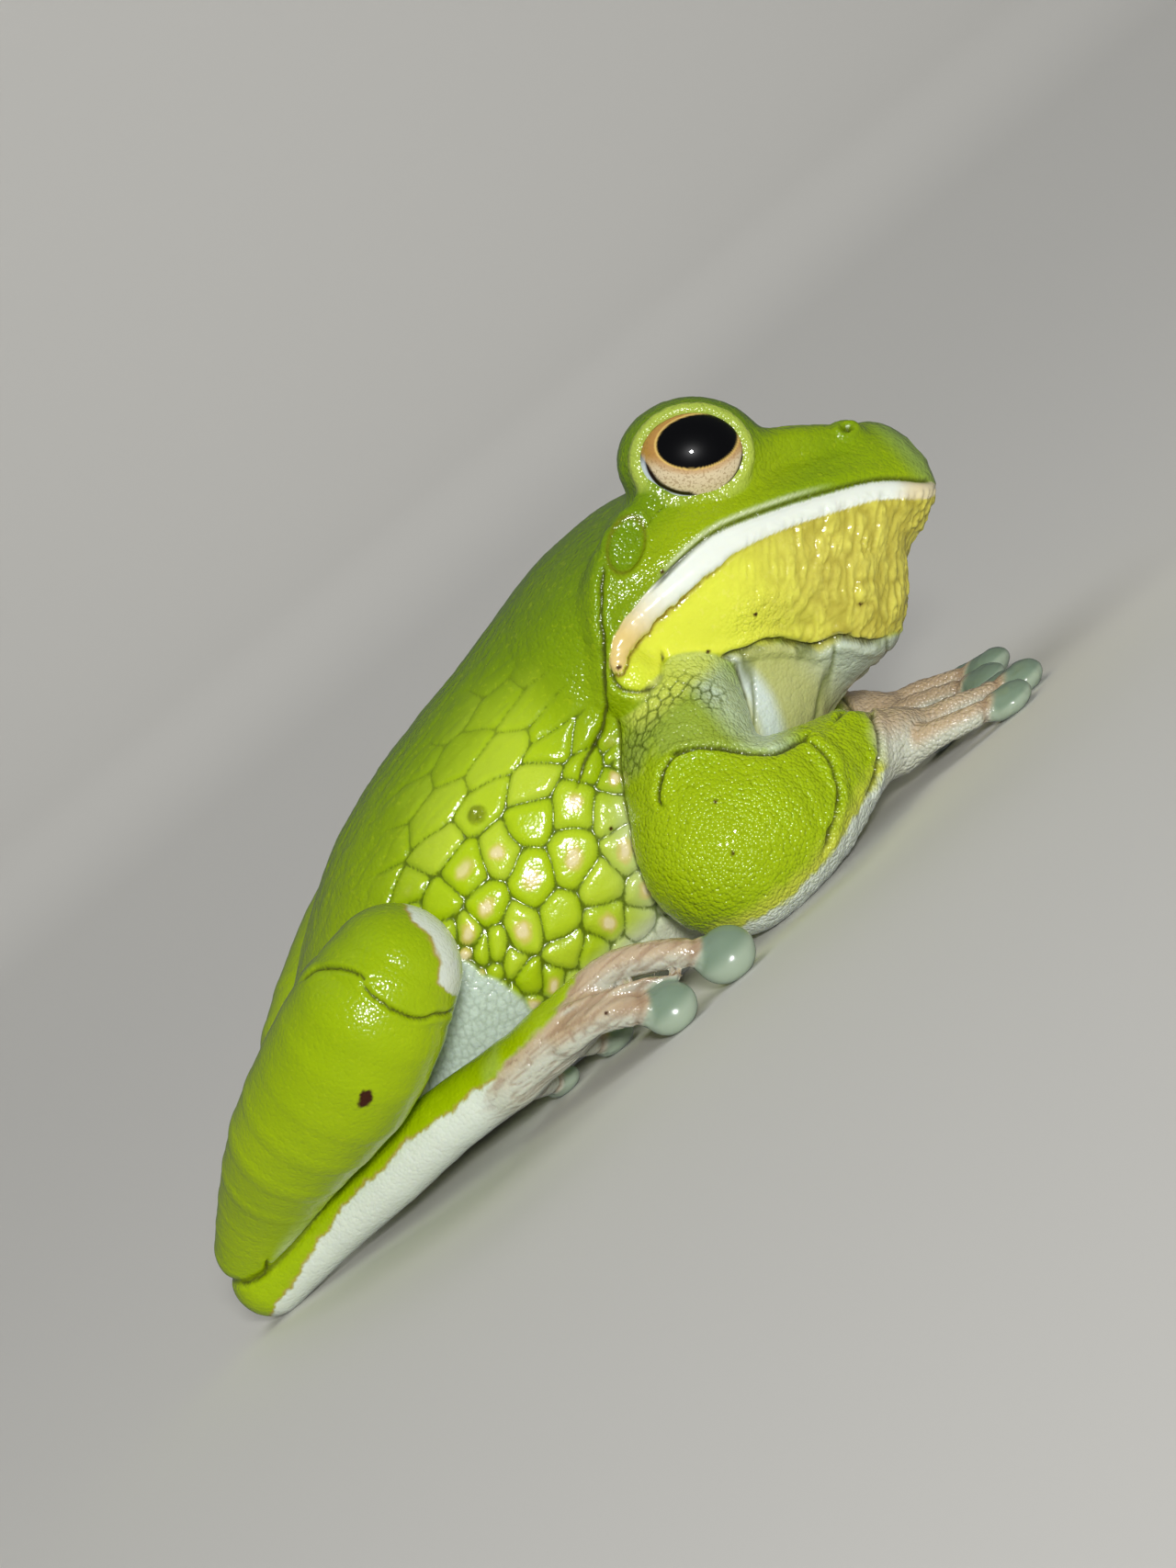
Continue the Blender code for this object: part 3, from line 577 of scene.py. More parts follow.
def side_frame(side, forward=0.0):
    """The place of one side's limbs, some millimetres forward."""
    return Matrix.Translation((forward, 0, 0)) @ Matrix.Diagonal((1, side, 1, 1))


NECK_FILLET = 4.5
LEG_FILLET = 1.3
ARM_FILLET = 2.0


def flesh(p):
    """Distance to the skin of the whole animal."""
    head = folded(moved(p, HEAD_FRAME.inverted()))
    d = blend(distance_to(TORSO, folded(p)), blend_all(FACE, head), NECK_FILLET)
    d = blend(d, blend_all(LEG, to_leg(p)), LEG_FILLET)
    return blend(d, blend_all(ARM, folded(p)), ARM_FILLET)


print("depth of the torso's middle, in mm:", flesh(np.array([[0.0, 0.0, 20.0]])).round(1))

# %% [markdown]
# ## One skin over everything
# Each form is first filled with balls. Blender's voxel remesh fuses them into one closed
# mesh of even squares. The mesh is then settled: every point steps along the slope of the
# blended distance until it lies on the skin, and slides a little to stay evenly spaced.
# At last every square is halved both ways, for folds a quarter of a millimetre fine.
# A skin could also be pulled from a box by hand, but this one follows the forms exactly.


# %% A ball of triangles, and new objects
def unit_ball(fineness):
    """Points and triangles of a ball of radius one."""
    bm = bmesh.new()
    bmesh.ops.create_icosphere(bm, subdivisions=fineness, radius=1)
    points = np.array([v.co[:] for v in bm.verts])
    triangles = np.array([[v.index for v in face.verts] for face in bm.faces])
    bm.free()
    return points, triangles


def shown(name, mesh):
    """A new object in the scene for a mesh."""
    item = bpy.data.objects.new(name, mesh)
    bpy.context.scene.collection.objects.link(item)
    return item


def baked(item):
    """The same object with its modifiers applied."""
    graph = bpy.context.evaluated_depsgraph_get()
    mesh = bpy.data.meshes.new_from_object(item.evaluated_get(graph))
    item.modifiers.clear()
    item.data = mesh
    return item


print("points of a fine ball and of a coarse one:", len(unit_ball(3)[0]), len(unit_ball(2)[0]))

# %% Fuse the balls
SKIN_VOXEL = 0.5
SMALL_BALL = 6


def fused(name, forms, voxel):
    """One closed skin round balls that fill every form, on one side or on both."""
    balls = {True: unit_ball(3), False: unit_ball(2)}
    points, faces = [], []
    total = 0
    for form, placing, mirrored in forms:
        for centre, radii, turn in form.beads():
            ball, triangles = balls[max(radii) > SMALL_BALL]
            place = Matrix.Translation(Vector(centre)) @ turn.to_4x4() @ Matrix.Diagonal((*radii, 1))
            for side in (1, -1) if mirrored else (1,):
                points.append(moved(ball, placing @ Matrix.Diagonal((1, side, 1, 1)) @ place))
                faces.append((triangles if side == 1 else triangles[:, ::-1]) + total)
                total += len(ball)
    mesh = bpy.data.meshes.new(name)
    mesh.from_pydata(np.concatenate(points), [], np.concatenate(faces))
    item = shown(name, mesh)
    remesh = item.modifiers.new("fuse", "REMESH")
    remesh.mode = "VOXEL"
    remesh.voxel_size = voxel
    return baked(item)


still = Matrix.Identity(4)
all_forms = [(TORSO, still, False)]
all_forms += [(form, HEAD_FRAME, True) for form, _ in FACE]
all_forms += [(form, still, True) for form, _ in ARM]
all_forms += [(form, side_frame(-1), False) for form, _ in LEG]
all_forms += [(form, side_frame(1, LEFT_LEG_FORWARD), False) for form, _ in LEG]
skin = fused("skin", all_forms, SKIN_VOXEL)
print("skin faces:", len(skin.data.polygons))


# %% Read and write points
def read_points(item):
    """All points of a mesh object, as rows."""
    flat = np.empty(len(item.data.vertices) * 3, np.float32)
    item.data.vertices.foreach_get("co", flat)
    return flat.reshape(-1, 3).astype(float)


def write_points(item, points):
    """Give a mesh object new places for all its points."""
    item.data.vertices.foreach_set("co", points.astype(np.float32).ravel())
    item.data.update()


print("points of the fused skin:", len(read_points(skin)))

# %% Settle the mesh on the skin
PROBE = 0.04
LONGEST_STEP = 0.8
SLIDE = 0.5


def neighbour_sums(points, a, b):
    """For each point, the sum of the points that an edge joins it to."""
    axes = []
    for axis in range(3):
        from_b = np.bincount(a, points[b, axis], len(points))
        from_a = np.bincount(b, points[a, axis], len(points))
        axes.append(from_b + from_a)
    return np.stack(axes, 1)


def settle(item, distance, rounds):
    """Move a mesh onto the surface where the distance is zero, and give its outward normals."""
    points = read_points(item)
    pairs = np.empty(len(item.data.edges) * 2, np.int32)
    item.data.edges.foreach_get("vertices", pairs)
    a, b = pairs.reshape(-1, 2).T
    count = np.bincount(np.concatenate([a, b]), minlength=len(points))[:, None]
    for turn in range(rounds):
        here = distance(points)
        slope = np.stack([distance(points + step) - here for step in np.eye(3) * PROBE], 1) / PROBE
        size = np.linalg.norm(slope, axis=1, keepdims=True)
        normal = slope / np.maximum(size, 0.2)
        inward = np.clip(here[:, None] / np.maximum(size, 0.3), -LONGEST_STEP, LONGEST_STEP)
        points = points - normal * inward
        if turn < rounds - 1:
            drift = neighbour_sums(points, a, b) / count - points
            drift -= (drift * normal).sum(1, keepdims=True) * normal
            points = points + SLIDE * drift
    write_points(item, points)
    return points, normal / np.maximum(np.linalg.norm(normal, axis=1, keepdims=True), 1e-6)


settle(skin, flesh, rounds=4)
finer = skin.modifiers.new("finer", "SUBSURF")
finer.levels = 1
baked(skin)
points, normals = settle(skin, flesh, rounds=1)
print("fine skin faces:", len(skin.data.polygons))
print("settled, box in mm:", points.min(0).round(1), points.max(0).round(1))

# %% [markdown]
# ## Tools for folds and markings
# Skin is not painted by hand here. A fold is a path on the side view and a depth, a marking
# is a path or a patch and an edge, and both are worked out for every point of the skin.
# A lattice of random numbers, smoothly joined, gives the unevenness of living things.

# %% Soft steps and noise
LATTICE = 32
SEED = 11
RANDOM = np.random.default_rng(SEED)
HEIGHTS = RANDOM.uniform(-1, 1, (LATTICE, LATTICE, LATTICE))


def soft(low, high, value):
    """0 below low, 1 above high and smooth between; the other way round if low is the higher."""
    t = np.clip((value - low) / (high - low), 0, 1)
    return t * t * (3 - 2 * t)


def mix(a, b, share):
    """From a at a share of 0 to b at a share of 1."""
    return a + (b - a) * share


def ridge(value, middle, width):
    """1 where the value is the middle one, falling off smoothly over the width."""
    return np.exp(-(((value - middle) / width) ** 2))


def unevenness(p, size, shift=0.0):
    """Smooth noise from -1 to 1 with lumps of the given size, or sizes along x, y and z."""
    q = p / size + shift
    cell = np.floor(q).astype(int)
    x, y, z = soft(0, 1, q - cell).T
    (x0, y0, z0), (x1, y1, z1) = (cell % LATTICE).T, ((cell + 1) % LATTICE).T
    near = mix(
        mix(HEIGHTS[x0, y0, z0], HEIGHTS[x1, y0, z0], x),
        mix(HEIGHTS[x0, y1, z0], HEIGHTS[x1, y1, z0], x),
        y,
    )
    far = mix(
        mix(HEIGHTS[x0, y0, z1], HEIGHTS[x1, y0, z1], x),
        mix(HEIGHTS[x0, y1, z1], HEIGHTS[x1, y1, z1], x),
        y,
    )
    return mix(near, far, z)


def furrows(p, size, shift=0.0, width=0.4):
    """Winding lines with a soft bank: 1 in the line and 0 away from it."""
    return np.clip(1 - np.abs(unevenness(p, size, shift)) / width, 0, 1)


print("unevenness at three points of the skin:", unevenness(points[:3], 2.0).round(2))

# %% Paths on the side view
PATH_REACH = 8


def path_distance(at, path, count=24):
    """Distance on the sheet to a smooth path, how far along it from 0 to 1, and the side."""
    line = smooth_path(path, count)
    near = np.full(len(at), FAR)
    along = np.zeros(len(at))
    side = np.ones(len(at))
    low, high = line.min(0) - PATH_REACH, line.max(0) + PATH_REACH
    close = np.flatnonzero(np.all((at > low) & (at < high), axis=1))
    at = at[close]
    best = near[close]
    for i, (a, b) in enumerate(zip(line, line[1:])):
        way = b - a
        t = np.clip((at - a) @ way / (way @ way), 0, 1)
        away = at - a - t[:, None] * way
        d = np.hypot(away[:, 0], away[:, 1])
        closer = d < best
        best[closer] = d[closer]
        along[close[closer]] = (i + t[closer]) / (count - 1)
        side[close[closer]] = np.sign(way[0] * away[closer, 1] - way[1] * away[closer, 0])
    near[close] = best
    return near, along, side


def height_at(view, path):
    """The height of a path on the sheet, above each point's x."""
    return np.interp(view[:, 0], *np.array(sorted(path)).T)


print("1 mm beside a straight path:", path_distance(np.array([[1.0, 1.0]]), [(0, 0), (2, 0)])[0])

# %% The side view of the body and of the head
body_view = on_sheet(folded(points, -1))
leg_view = on_sheet(to_leg(points) * (1, -1, 1))
head_points = moved(points, HEAD_FRAME.inverted())
head_view = on_sheet(moved(folded(head_points, -1), HEAD_FRAME))
out = np.abs(points[:, 1])
facing_up = normals[:, 2]

WIDE_REACH = 30
near_torso = distance_to(TORSO, folded(points), WIDE_REACH)
near_face = blend_all(FACE, folded(head_points))
near_leg = blend_all(LEG, to_leg(points))
near_arm = blend_all(ARM, folded(points))


def belongs(own, *others):
    """1 where a point lies on its own forms, 0 on the others, with a soft edge."""
    other = np.minimum.reduce(others)
    return soft(-0.5, 0.5, other - own)


on_arm = belongs(near_arm, near_torso, near_face, near_leg)
on_leg = belongs(near_leg, near_torso, near_face, near_arm)
on_head = belongs(near_face, near_torso, near_leg, near_arm)
on_torso = belongs(near_torso, near_face, near_leg, near_arm)
shares = [round(float(part.mean()), 2) for part in (on_torso, on_head, on_arm, on_leg)]
print("shares of torso, head, arms and legs:", shares)

# %% [markdown]
# ## Folds and creases
# A crease is a thin dark valley between two soft swellings. Each is drawn on the side view,
# and only the part of the body that it belongs to is pressed in. Bump in the material would
# be cheaper, but a crease that is really there also shades itself and shows in the outline.
# The valley is painted darker as well, as painted shade.

# %% Creases
# Paths on the side view in mm, with the half width and the depth of the valley.
NECK_CREASE = (
    [(26.2, 42.0), (22.8, 38.4), (18.8, 33.7), (13.8, 27.0), (11.2, 25.7), (8.3, 24.2), (4.1, 21.5)],
    0.3,
    0.5,
)
JOWL = (
    [(18.6, 32.4), (17.0, 29.4), (17.9, 26.8), (20.6, 26.0), (22.8, 27.3), (23.3, 29.8)],
    0.26,
    0.55,
)
THROAT_FOLD = (
    [
        (22.5, 26.7), (26.3, 24.6), (29.9, 22.8), (33.1, 21.8),
        (35.3, 19.6), (37.1, 17.5), (40.1, 16.3), (42.6, 13.6), (45.5, 12.6),
    ],
    0.3,
    0.8,
)
ELBOW_CREASE = ([(11.8, 14.6), (12.8, 16.7), (14.9, 18.1), (17.2, 18.4), (20.0, 17.2)], 0.24, 0.45)
ARM_TOP = (
    [(15.3, 19.4), (18.3, 18.2), (20.9, 16.3), (25.2, 12.0), (28.2, 10.8), (31.7, 10.2)],
    0.3,
    0.6,
)
WRIST_CREASE = (
    [(29.0, 11.2), (30.2, 8.8), (29.9, 5.6), (27.7, 2.3), (24.6, 0.2), (22.0, -1.6)],
    0.26,
    0.55,
)
HAND_CREASE = (
    [(32.2, 9.6), (35.0, 9.8), (37.0, 8.4), (36.1, 5.2), (32.6, 1.8), (29.6, 0.4)],
    0.22,
    0.4,
)
KNEE_BACK = ([(-32.5, 26.4), (-29.7, 26.0), (-27.7, 24.8), (-26.5, 22.5), (-26.4, 21.4)], 0.22, 0.4)
KNEE_FRONT = ([(-26.9, 22.0), (-26.7, 19.1), (-24.9, 15.1), (-21.6, 12.6), (-19.4, 13.0)], 0.22, 0.45)
HEEL_CREASE = ([(-60.0, 4.6), (-58.4, 3.5), (-56.6, 3.4), (-54.6, 4.6)], 0.2, 0.3)

WAVER = 0.25
WAVER_SIZE = 1.7
relief = np.zeros(len(points))
dark = np.zeros(len(points))
waver = WAVER * np.stack([unevenness(points, WAVER_SIZE, shift) for shift in (2.0, 6.0)], 1)
print("creases waver by up to", np.abs(waver).max().round(2), "mm")


# %% Press the creases
def press(view, crease, where, swell=0.5):
    """Press a crease into the skin, swell its banks and note how much painted shade lies in it."""
    path, half, depth = crease
    near, along, _ = path_distance(view + waver, path)
    ends = soft(0.0, 0.15, along) * soft(1.0, 0.85, along)
    valley = ridge(near, 0, half * (0.4 + 0.6 * ends)) * ends * where
    banks = ridge(near, 3 * half, 2 * half) * ends * where
    relief[:] += depth * (swell * banks - valley)
    # Painted shade in the valley, kept for the material.
    dark[:] = np.maximum(dark, soft(0.3, 0.85, valley))


outer_side = soft(0.0, 0.25, np.abs(normals[:, 1]))
outer_arm = on_arm * outer_side
outer_leg = on_leg * outer_side
flesh_of_head = (1 - on_arm) * (1 - on_leg)
side_of_neck = flesh_of_head * soft(6, 10, out)
press(head_view, NECK_CREASE, side_of_neck, swell=0.25)
press(head_view, JOWL, side_of_neck, swell=0.3)
press(head_view, THROAT_FOLD, flesh_of_head, swell=0.4)
press(body_view, ELBOW_CREASE, outer_arm)
press(body_view, ARM_TOP, outer_arm, swell=0.3)
press(body_view, WRIST_CREASE, outer_arm)
press(body_view, HAND_CREASE, outer_arm, swell=0.8)
for leg_crease in (KNEE_BACK, KNEE_FRONT, HEEL_CREASE):
    press(leg_view, leg_crease, outer_leg, swell=0.35)

# Deep lines where one part of the body lies against another, painted darker as painted shade.
SEAM_HALF = 0.5
SEAM_DEPTH = 0.35
near_shin = distance_to(SHIN, to_leg(points))
near_tarsus = distance_to(TARSUS, to_leg(points))
for one, other, where in (
    (near_shin, near_tarsus, on_leg),
    (near_arm, near_torso, soft(0.0, 4.0, body_view[:, 0]) * soft(2.0, 6.0, points[:, 2])),
):
    seam = ridge(one - other, 0, SEAM_HALF) * soft(2.2, 0.8, np.minimum(one, other)) * where
    relief -= SEAM_DEPTH * seam
    # Painted shade along the seam.
    dark = np.maximum(dark, 0.7 * soft(0.45, 0.95, seam))
print("points in dark creases:", int((dark > 0.5).sum()))

# %% [markdown]
# ## Cobbled flank
# The loose skin between arm and thigh is set with flat, wet cobbles: long and large high on
# the side, round below, and small and pale towards the belly and behind the elbow.
# Seeds are dropped on the skin in random order and kept where no other is too near. A point
# of skin then belongs to its nearest seed, and its distance to the line between two seeds
# shapes the cobble's dome and the crease round it. The crease is painted dark and each cobble
# is painted darker towards its edge, as painted shade. A cell texture could draw such cobbles,
# but its cells can't grow and shrink over the side as these do.

# %% Patches, and the space in which cobbles are round
FLANK_EDGE = [
    (-19.5, 12.0), (-19.0, 29.0), (-10.0, 36.0), (4.0, 40.0),
    (12.5, 37.0), (12.0, 20.0), (8.0, 5.0), (-12.0, 3.0),
]
GROIN_EDGE = [(-17.4, 18.8), (-15.4, 13.0), (-14.2, 8.0), (-14.0, 2.0), (-30.0, 2.0), (-28.0, 16.0)]
ARMPIT_PATH = [(12.4, 21.2), (16.4, 23.2), (20.0, 24.3), (23.0, 23.6), (24.4, 20.6)]
UPRIGHT = np.array([0.64, 0.0, 0.77])
SQUEEZE = 0.2
STRETCH = smooth_profile([-10, 0, 22, 28, 34, 50], [-10, 0, 22, 29.5, 42, 84])
WOBBLE = 0.4
WOBBLE_SIZE = 2.6


def inside_patch(at, edge):
    """Signed distance on the sheet to the edge of a patch, more than 0 inside."""
    near = np.full(len(at), FAR)
    within = np.zeros(len(at), bool)
    for a, b in zip(np.array(edge), np.roll(np.array(edge), -1, axis=0)):
        way = b - a
        t = np.clip((at - a) @ way / (way @ way), 0, 1)
        away = at - a - t[:, None] * way
        near = np.minimum(near, np.hypot(away[:, 0], away[:, 1]))
        crosses = (a[1] > at[:, 1]) != (b[1] > at[:, 1])
        meets = a[0] + (at[:, 1] - a[1]) * way[0] / (way[1] if way[1] else 1e-9)
        within ^= crosses & (at[:, 0] < meets)
    return np.where(within, near, -near)


def cobble_space(p):
    """Places where cobbles are round: squeezed upright, and stretched high on the side."""
    placed = p - SQUEEZE * (p @ UPRIGHT)[:, None] * UPRIGHT
    placed[:, 2] += STRETCH(p[:, 2]) - p[:, 2]
    wobble = [unevenness(p, WOBBLE_SIZE, shift) for shift in (0.0, 5.3, 9.1)]
    return placed + WOBBLE * np.stack(wobble, 1)


longer = (STRETCH(40) - STRETCH(30)) / 10
print("between z 30 and 40 cobbles are about", longer.round(1), "times as long as high")


# %% Where the cobbles lie
def in_oval(at, centre, reach):
    """0 at an oval's centre and 1 on its edge."""
    return np.hypot((at[:, 0] - centre[0]) / reach[0], (at[:, 1] - centre[1]) / reach[1])


def distance_from(forms, place=folded):
    """Distance from every point of the skin to the nearest of the forms."""
    return np.minimum.reduce([distance_to(form, place(points)) for form in forms])


def nearness(forms, reach, place=folded):
    """1 on the given forms, fading to 0 at a reach from them."""
    return soft(reach, 0.1, distance_from(forms, place))


patch = inside_patch(body_view, FLANK_EDGE)
groin = soft(-0.5, 0.3, inside_patch(leg_view, GROIN_EDGE) + 0.4 * unevenness(points, 1.6))
groin *= soft(11.0, 14.0, out) * (1 - nearness([SHIN, TARSUS, SOLE, THIGH], 1.2, to_leg))
near_armpit, _, _ = path_distance(body_view + 2.0 * waver, ARMPIT_PATH)
armpit = soft(2.5, 0.5, near_armpit) * soft(9.0, 12.0, out)
beside_limbs = (1 - on_arm) * (1 - on_leg) * (1 - groin)
on_flank = soft(-1.5, 1.5, patch) * beside_limbs
cobbled = np.maximum.reduce([on_flank, groin, armpit]) * soft(8.0, 9.5, out)
print("points that may hold cobbles:", int((cobbled > 0.01).sum()))

# %% Drop the seeds
# How far apart cobbles lie, in mm, on each part of the side.
COBBLE = 4.0
SMALL_COBBLE = 2.2
LONG_COBBLE = 7.0
GROIN_BEAD = 0.75
ARMPIT_CELL = 1.1
MOST_TRIES = 24000
CLOSEST = 0.92

lowness = soft(11.0, 4.0, body_view[:, 1])
frontness = soft(4.0, 10.5, body_view[:, 0] - 0.25 * (body_view[:, 1] - 10))
spacing = mix(COBBLE, SMALL_COBBLE, np.maximum(lowness, frontness))
spacing = mix(spacing, LONG_COBBLE, soft(24.0, 33.0, points[:, 2]))
spacing = mix(spacing, GROIN_BEAD, groin)
spacing = mix(spacing, ARMPIT_CELL, soft(0.1, 0.4, armpit))

rows = np.flatnonzero(cobbled > 0.01)
order = RANDOM.permutation(rows)
space = cobble_space(points)


def drop_seeds(order, space, spacing):
    """Keep each place in turn if it is further than its spacing from all kept so far."""
    kept = space[order[:1]]
    for i in order[1:]:
        if ((kept - space[i]) ** 2).sum(1).min() > spacing[i] ** 2:
            kept = np.vstack([kept, space[i]])
    return kept


seeds = drop_seeds(order[:MOST_TRIES], space, spacing * CLOSEST)
print("cobbles:", len(seeds))


# %% Even out the seeds
def nearest_seeds(seeds, places):
    """The nearest seed, how far it is, and how far the lines towards the next two are."""
    tree = kdtree.KDTree(len(seeds))
    for i, seed in enumerate(seeds):
        tree.insert(seed, i)
    tree.balance()
    first = np.empty(len(places), int)
    reach = np.empty(len(places))
    edges = np.empty((len(places), 2))
    for row, place in enumerate(places):
        (own_seed, first[row], own), *others = tree.find_n(place, 3)
        reach[row] = own
        edges[row] = [
            (far * far - own * own) / (2 * (seed - own_seed).length) for seed, _, far in others
        ]
    return first, reach, edges


def even_out(seeds, places):
    """Move each seed to the middle of the places that are nearest to it."""
    owner = nearest_seeds(seeds, places)[0]
    count = np.bincount(owner, minlength=len(seeds))
    middle = np.stack([np.bincount(owner, places[:, i], len(seeds)) for i in range(3)], 1)
    return np.where(count[:, None] > 0, middle / np.maximum(count, 1)[:, None], seeds)


EVENING_ROUNDS = 2
EVENING_STEP = 6
for evening_round in range(EVENING_ROUNDS):
    seeds = even_out(seeds, space[order[::EVENING_STEP]])
first, reach, edges = nearest_seeds(seeds, space[rows])
print("widest cobble reaches", reach.max().round(1), "mm from its middle")

# %% Shape the cobbles
# Sizes of one cobble, as shares of its spacing.
BANK_SHARE = 0.36
DOME_SHARE = 0.14
SINK_SHARE = 0.09
DOME_POWER = 2.5
CORNER_SHARE = 0.07
LARGEST_DOME = 3.9
CREASE_HALF = 0.1
SPOT_SHARE = 0.7

size = np.minimum(spacing[rows], LARGEST_DOME)
corner = CORNER_SHARE * size
edge = -corner * np.log(np.exp(-edges / corner[:, None]).sum(1)) + 0.1 * corner
edge = np.maximum(edge, 0)
amount = cobbled[rows]
fade_high = mix(0.4, 1.0, soft(34.0, 25.0, body_view[rows, 1]))
inward = 1 - np.minimum(edge / (BANK_SHARE * size), 1)
dome = 1 - inward**DOME_POWER
relief[rows] += amount * fade_high * size * (DOME_SHARE * dome - SINK_SHARE)

cobble_crease_shade, cobble_edge_shade, cell_tone, pale_spot, spot_rim = np.zeros((5, len(points)))
# Painted shade: a dark line in the crease between cobbles.
line = soft(CREASE_HALF * 1.8, CREASE_HALF * 0.5, edge) * amount * (1 - 0.75 * groin[rows])
cobble_crease_shade[rows] = line * mix(0.5, 1.0, soft(35.0, 27.0, body_view[rows, 1]))
# Painted shade: each cobble is painted darker towards its edge.
cobble_edge_shade[rows] = soft(0.2, 0.0, edge / size) * amount * fade_high * (1 - groin[rows])
cell_tone[rows] = RANDOM.uniform(-1, 1, len(seeds))[first] * amount
has_spot = (RANDOM.uniform(0, 1, len(seeds)) < SPOT_SHARE)[first]
spot_place = has_spot * amount * soft(27.0, 22.0, body_view[rows, 1]) * soft(1.6, 2.6, size)
spot_reach = reach / size + 0.05 * unevenness(points[rows], 0.6)
pale_spot[rows] = soft(0.2, 0.1, spot_reach) * spot_place
spot_rim[rows] = soft(0.32, 0.18, spot_reach) * spot_place
print("points on cobbles:", int((cobbled > 0.5).sum()))

# %% [markdown]
# ## Lip and mouth
# The lip is a smooth band like white enamel, with a ragged lower edge and a thin dark mouth
# line above it. The mouth line is painted shade, and a pale line above it is a painted
# highlight. A band of one width would look like a stripe of paint, so its half width is
# read from a curve along the path and its edge is moved in and out by noise.

# %% Lip band
LIP_PATH = [
    (58.3, 23.0), (54.1, 26.6), (48.8, 29.1), (42.8, 31.5), (37.0, 33.2),
    (32.5, 33.5), (28.0, 33.3), (24.1, 32.9), (20.9, 32.2), (18.4, 30.6),
]
LIP_HALF = smooth_profile([0, 0.3, 0.55, 0.8, 1], [1.0, 1.2, 1.7, 1.5, 0.9])
LIP_HEIGHT = 0.3
LIP_SHADOW_DEPTH = 0.3
LIP_RIDGE_DEPTH = 0.1
MOUTH_DEPTH = 0.45
near_lip, along_lip, side_lip = path_distance(head_view, LIP_PATH, 40)
below_lip = side_lip > 0
ragged = unevenness(points, 1.1) * 0.3 + unevenness(points, 0.45) * 0.14
ragged *= np.where(below_lip, soft(0.3, 0.6, along_lip), 0.25)
lip_edge = LIP_HALF(along_lip) - near_lip + ragged
side_of_head = soft(0.0, 0.3, near_torso - near_face + 2.5) * flesh_of_head
lip = soft(-0.06, 0.14, lip_edge) * side_of_head
relief += LIP_HEIGHT * soft(-0.1, 0.7, lip_edge) * side_of_head
lip_shadow = ridge(lip_edge, -0.25, 0.22) * side_of_head * below_lip
relief -= LIP_SHADOW_DEPTH * lip_shadow * soft(0.1, 0.5, along_lip)
ridges = furrows(points, (0.9, 0.9, 0.9), 8.0) * lip * soft(0.55, 0.85, along_lip)
relief -= LIP_RIDGE_DEPTH * ridges

MOUTH_LINE = [
    (58.9, 24.0), (54.8, 27.7), (49.7, 30.3), (43.8, 32.8), (37.0, 35.0), (31.5, 35.1), (26.0, 34.4),
]
near_mouth, along_mouth, _ = path_distance(head_view, MOUTH_LINE, 30)
mouth = ridge(near_mouth, 0, 0.24) * side_of_head * soft(1.0, 0.9, along_mouth)
relief -= MOUTH_DEPTH * mouth
# Painted highlight: a pale line along the upper edge of the mouth line.
mouth_highlight = ridge(near_mouth, 0.55, 0.25) * side_of_head * (1 - lip)
mouth_highlight *= soft(0.3, 0.5, along_mouth) * soft(0.95, 0.8, along_mouth)
print("points on the lip:", int((lip > 0.5).sum()))

# %% [markdown]
# ## Throat and folds
# The vocal sac of a male hangs slack in fine upright wrinkles, deepest at the front of the
# throat. Noise that is stretched one way gives such pleats: its winding zero lines become
# valleys. The same trick gives the long folds of chest, back and foot. The valleys of throat,
# chest and foot are also painted darker, as painted shade.

# %% Throat and its wrinkles
WRINKLE_LEAN = math.radians(40)
WRINKLE_DEPTH = 0.34
FINE_WRINKLE_DEPTH = 0.18
LOW_PLEAT_DEPTH = 0.35
below_lip_line = height_at(head_view, LIP_PATH) - head_view[:, 1]
throat = soft(-0.3, 0.6, below_lip_line) * side_of_head * soft(18.0, 24.0, head_view[:, 0])
fold_height = height_at(head_view, THROAT_FOLD[0])
throat *= soft(-0.4, 0.3, head_view[:, 1] - fold_height + 2 * waver[:, 0])
toward_front = soft(29.0, 45.0, head_view[:, 0] + 0.35 * (22 - head_view[:, 1]))
lean_x, lean_z = math.sin(WRINKLE_LEAN), math.cos(WRINKLE_LEAN)
across = head_points[:, 0] * lean_z - head_points[:, 2] * lean_x
along = head_points[:, 0] * lean_x + head_points[:, 2] * lean_z
pleats = np.stack([across, head_points[:, 1], along], 1)
straight_pleats = pleats.copy()
pleats += 0.35 * np.stack([unevenness(head_points, 2.5, s) for s in (3.0, 5.0, 7.0)], 1)
wrinkle = furrows(pleats, (0.85, 1.0, 2.6), 2.0, 0.6)
fine_wrinkle = furrows(pleats, (0.5, 0.55, 1.0), 7.0, 0.6)
low_pleat = furrows(pleats, (2.2, 3.0, 9.0), 5.0, 0.5) * soft(24.0, 20.0, head_view[:, 1])
pleated = throat * mix(0.04, 1.0, toward_front)
depth = WRINKLE_DEPTH * wrinkle + FINE_WRINKLE_DEPTH * fine_wrinkle + LOW_PLEAT_DEPTH * low_pleat
relief -= pleated * depth
print("points on the throat:", int((throat > 0.5).sum()))

# %% Folds of the chest, and its arc of pale skin
CHEST_ARC = [(25.6, 23.7), (28.0, 22.5), (28.7, 18.3), (27.5, 14.1), (26.0, 11.8)]
CHEST_FOLD_DEPTH = 0.3
near_arc, _, _ = path_distance(body_view, CHEST_ARC)
under_fold = soft(0.3, -0.3, head_view[:, 1] - fold_height)
chest = flesh_of_head * under_fold * soft(17.0, 22.0, body_view[:, 0])
pale_arc = soft(2.2, 0.4, near_arc) * chest
# The folds are pressed in and also painted darker, as painted shade.
chest_lines = furrows(straight_pleats, (1.5, 4.0, 14.0), 4.0, 0.3) * chest
relief -= CHEST_FOLD_DEPTH * chest_lines
print("points in the folds of the chest:", int((chest_lines > 0.5).sum()))

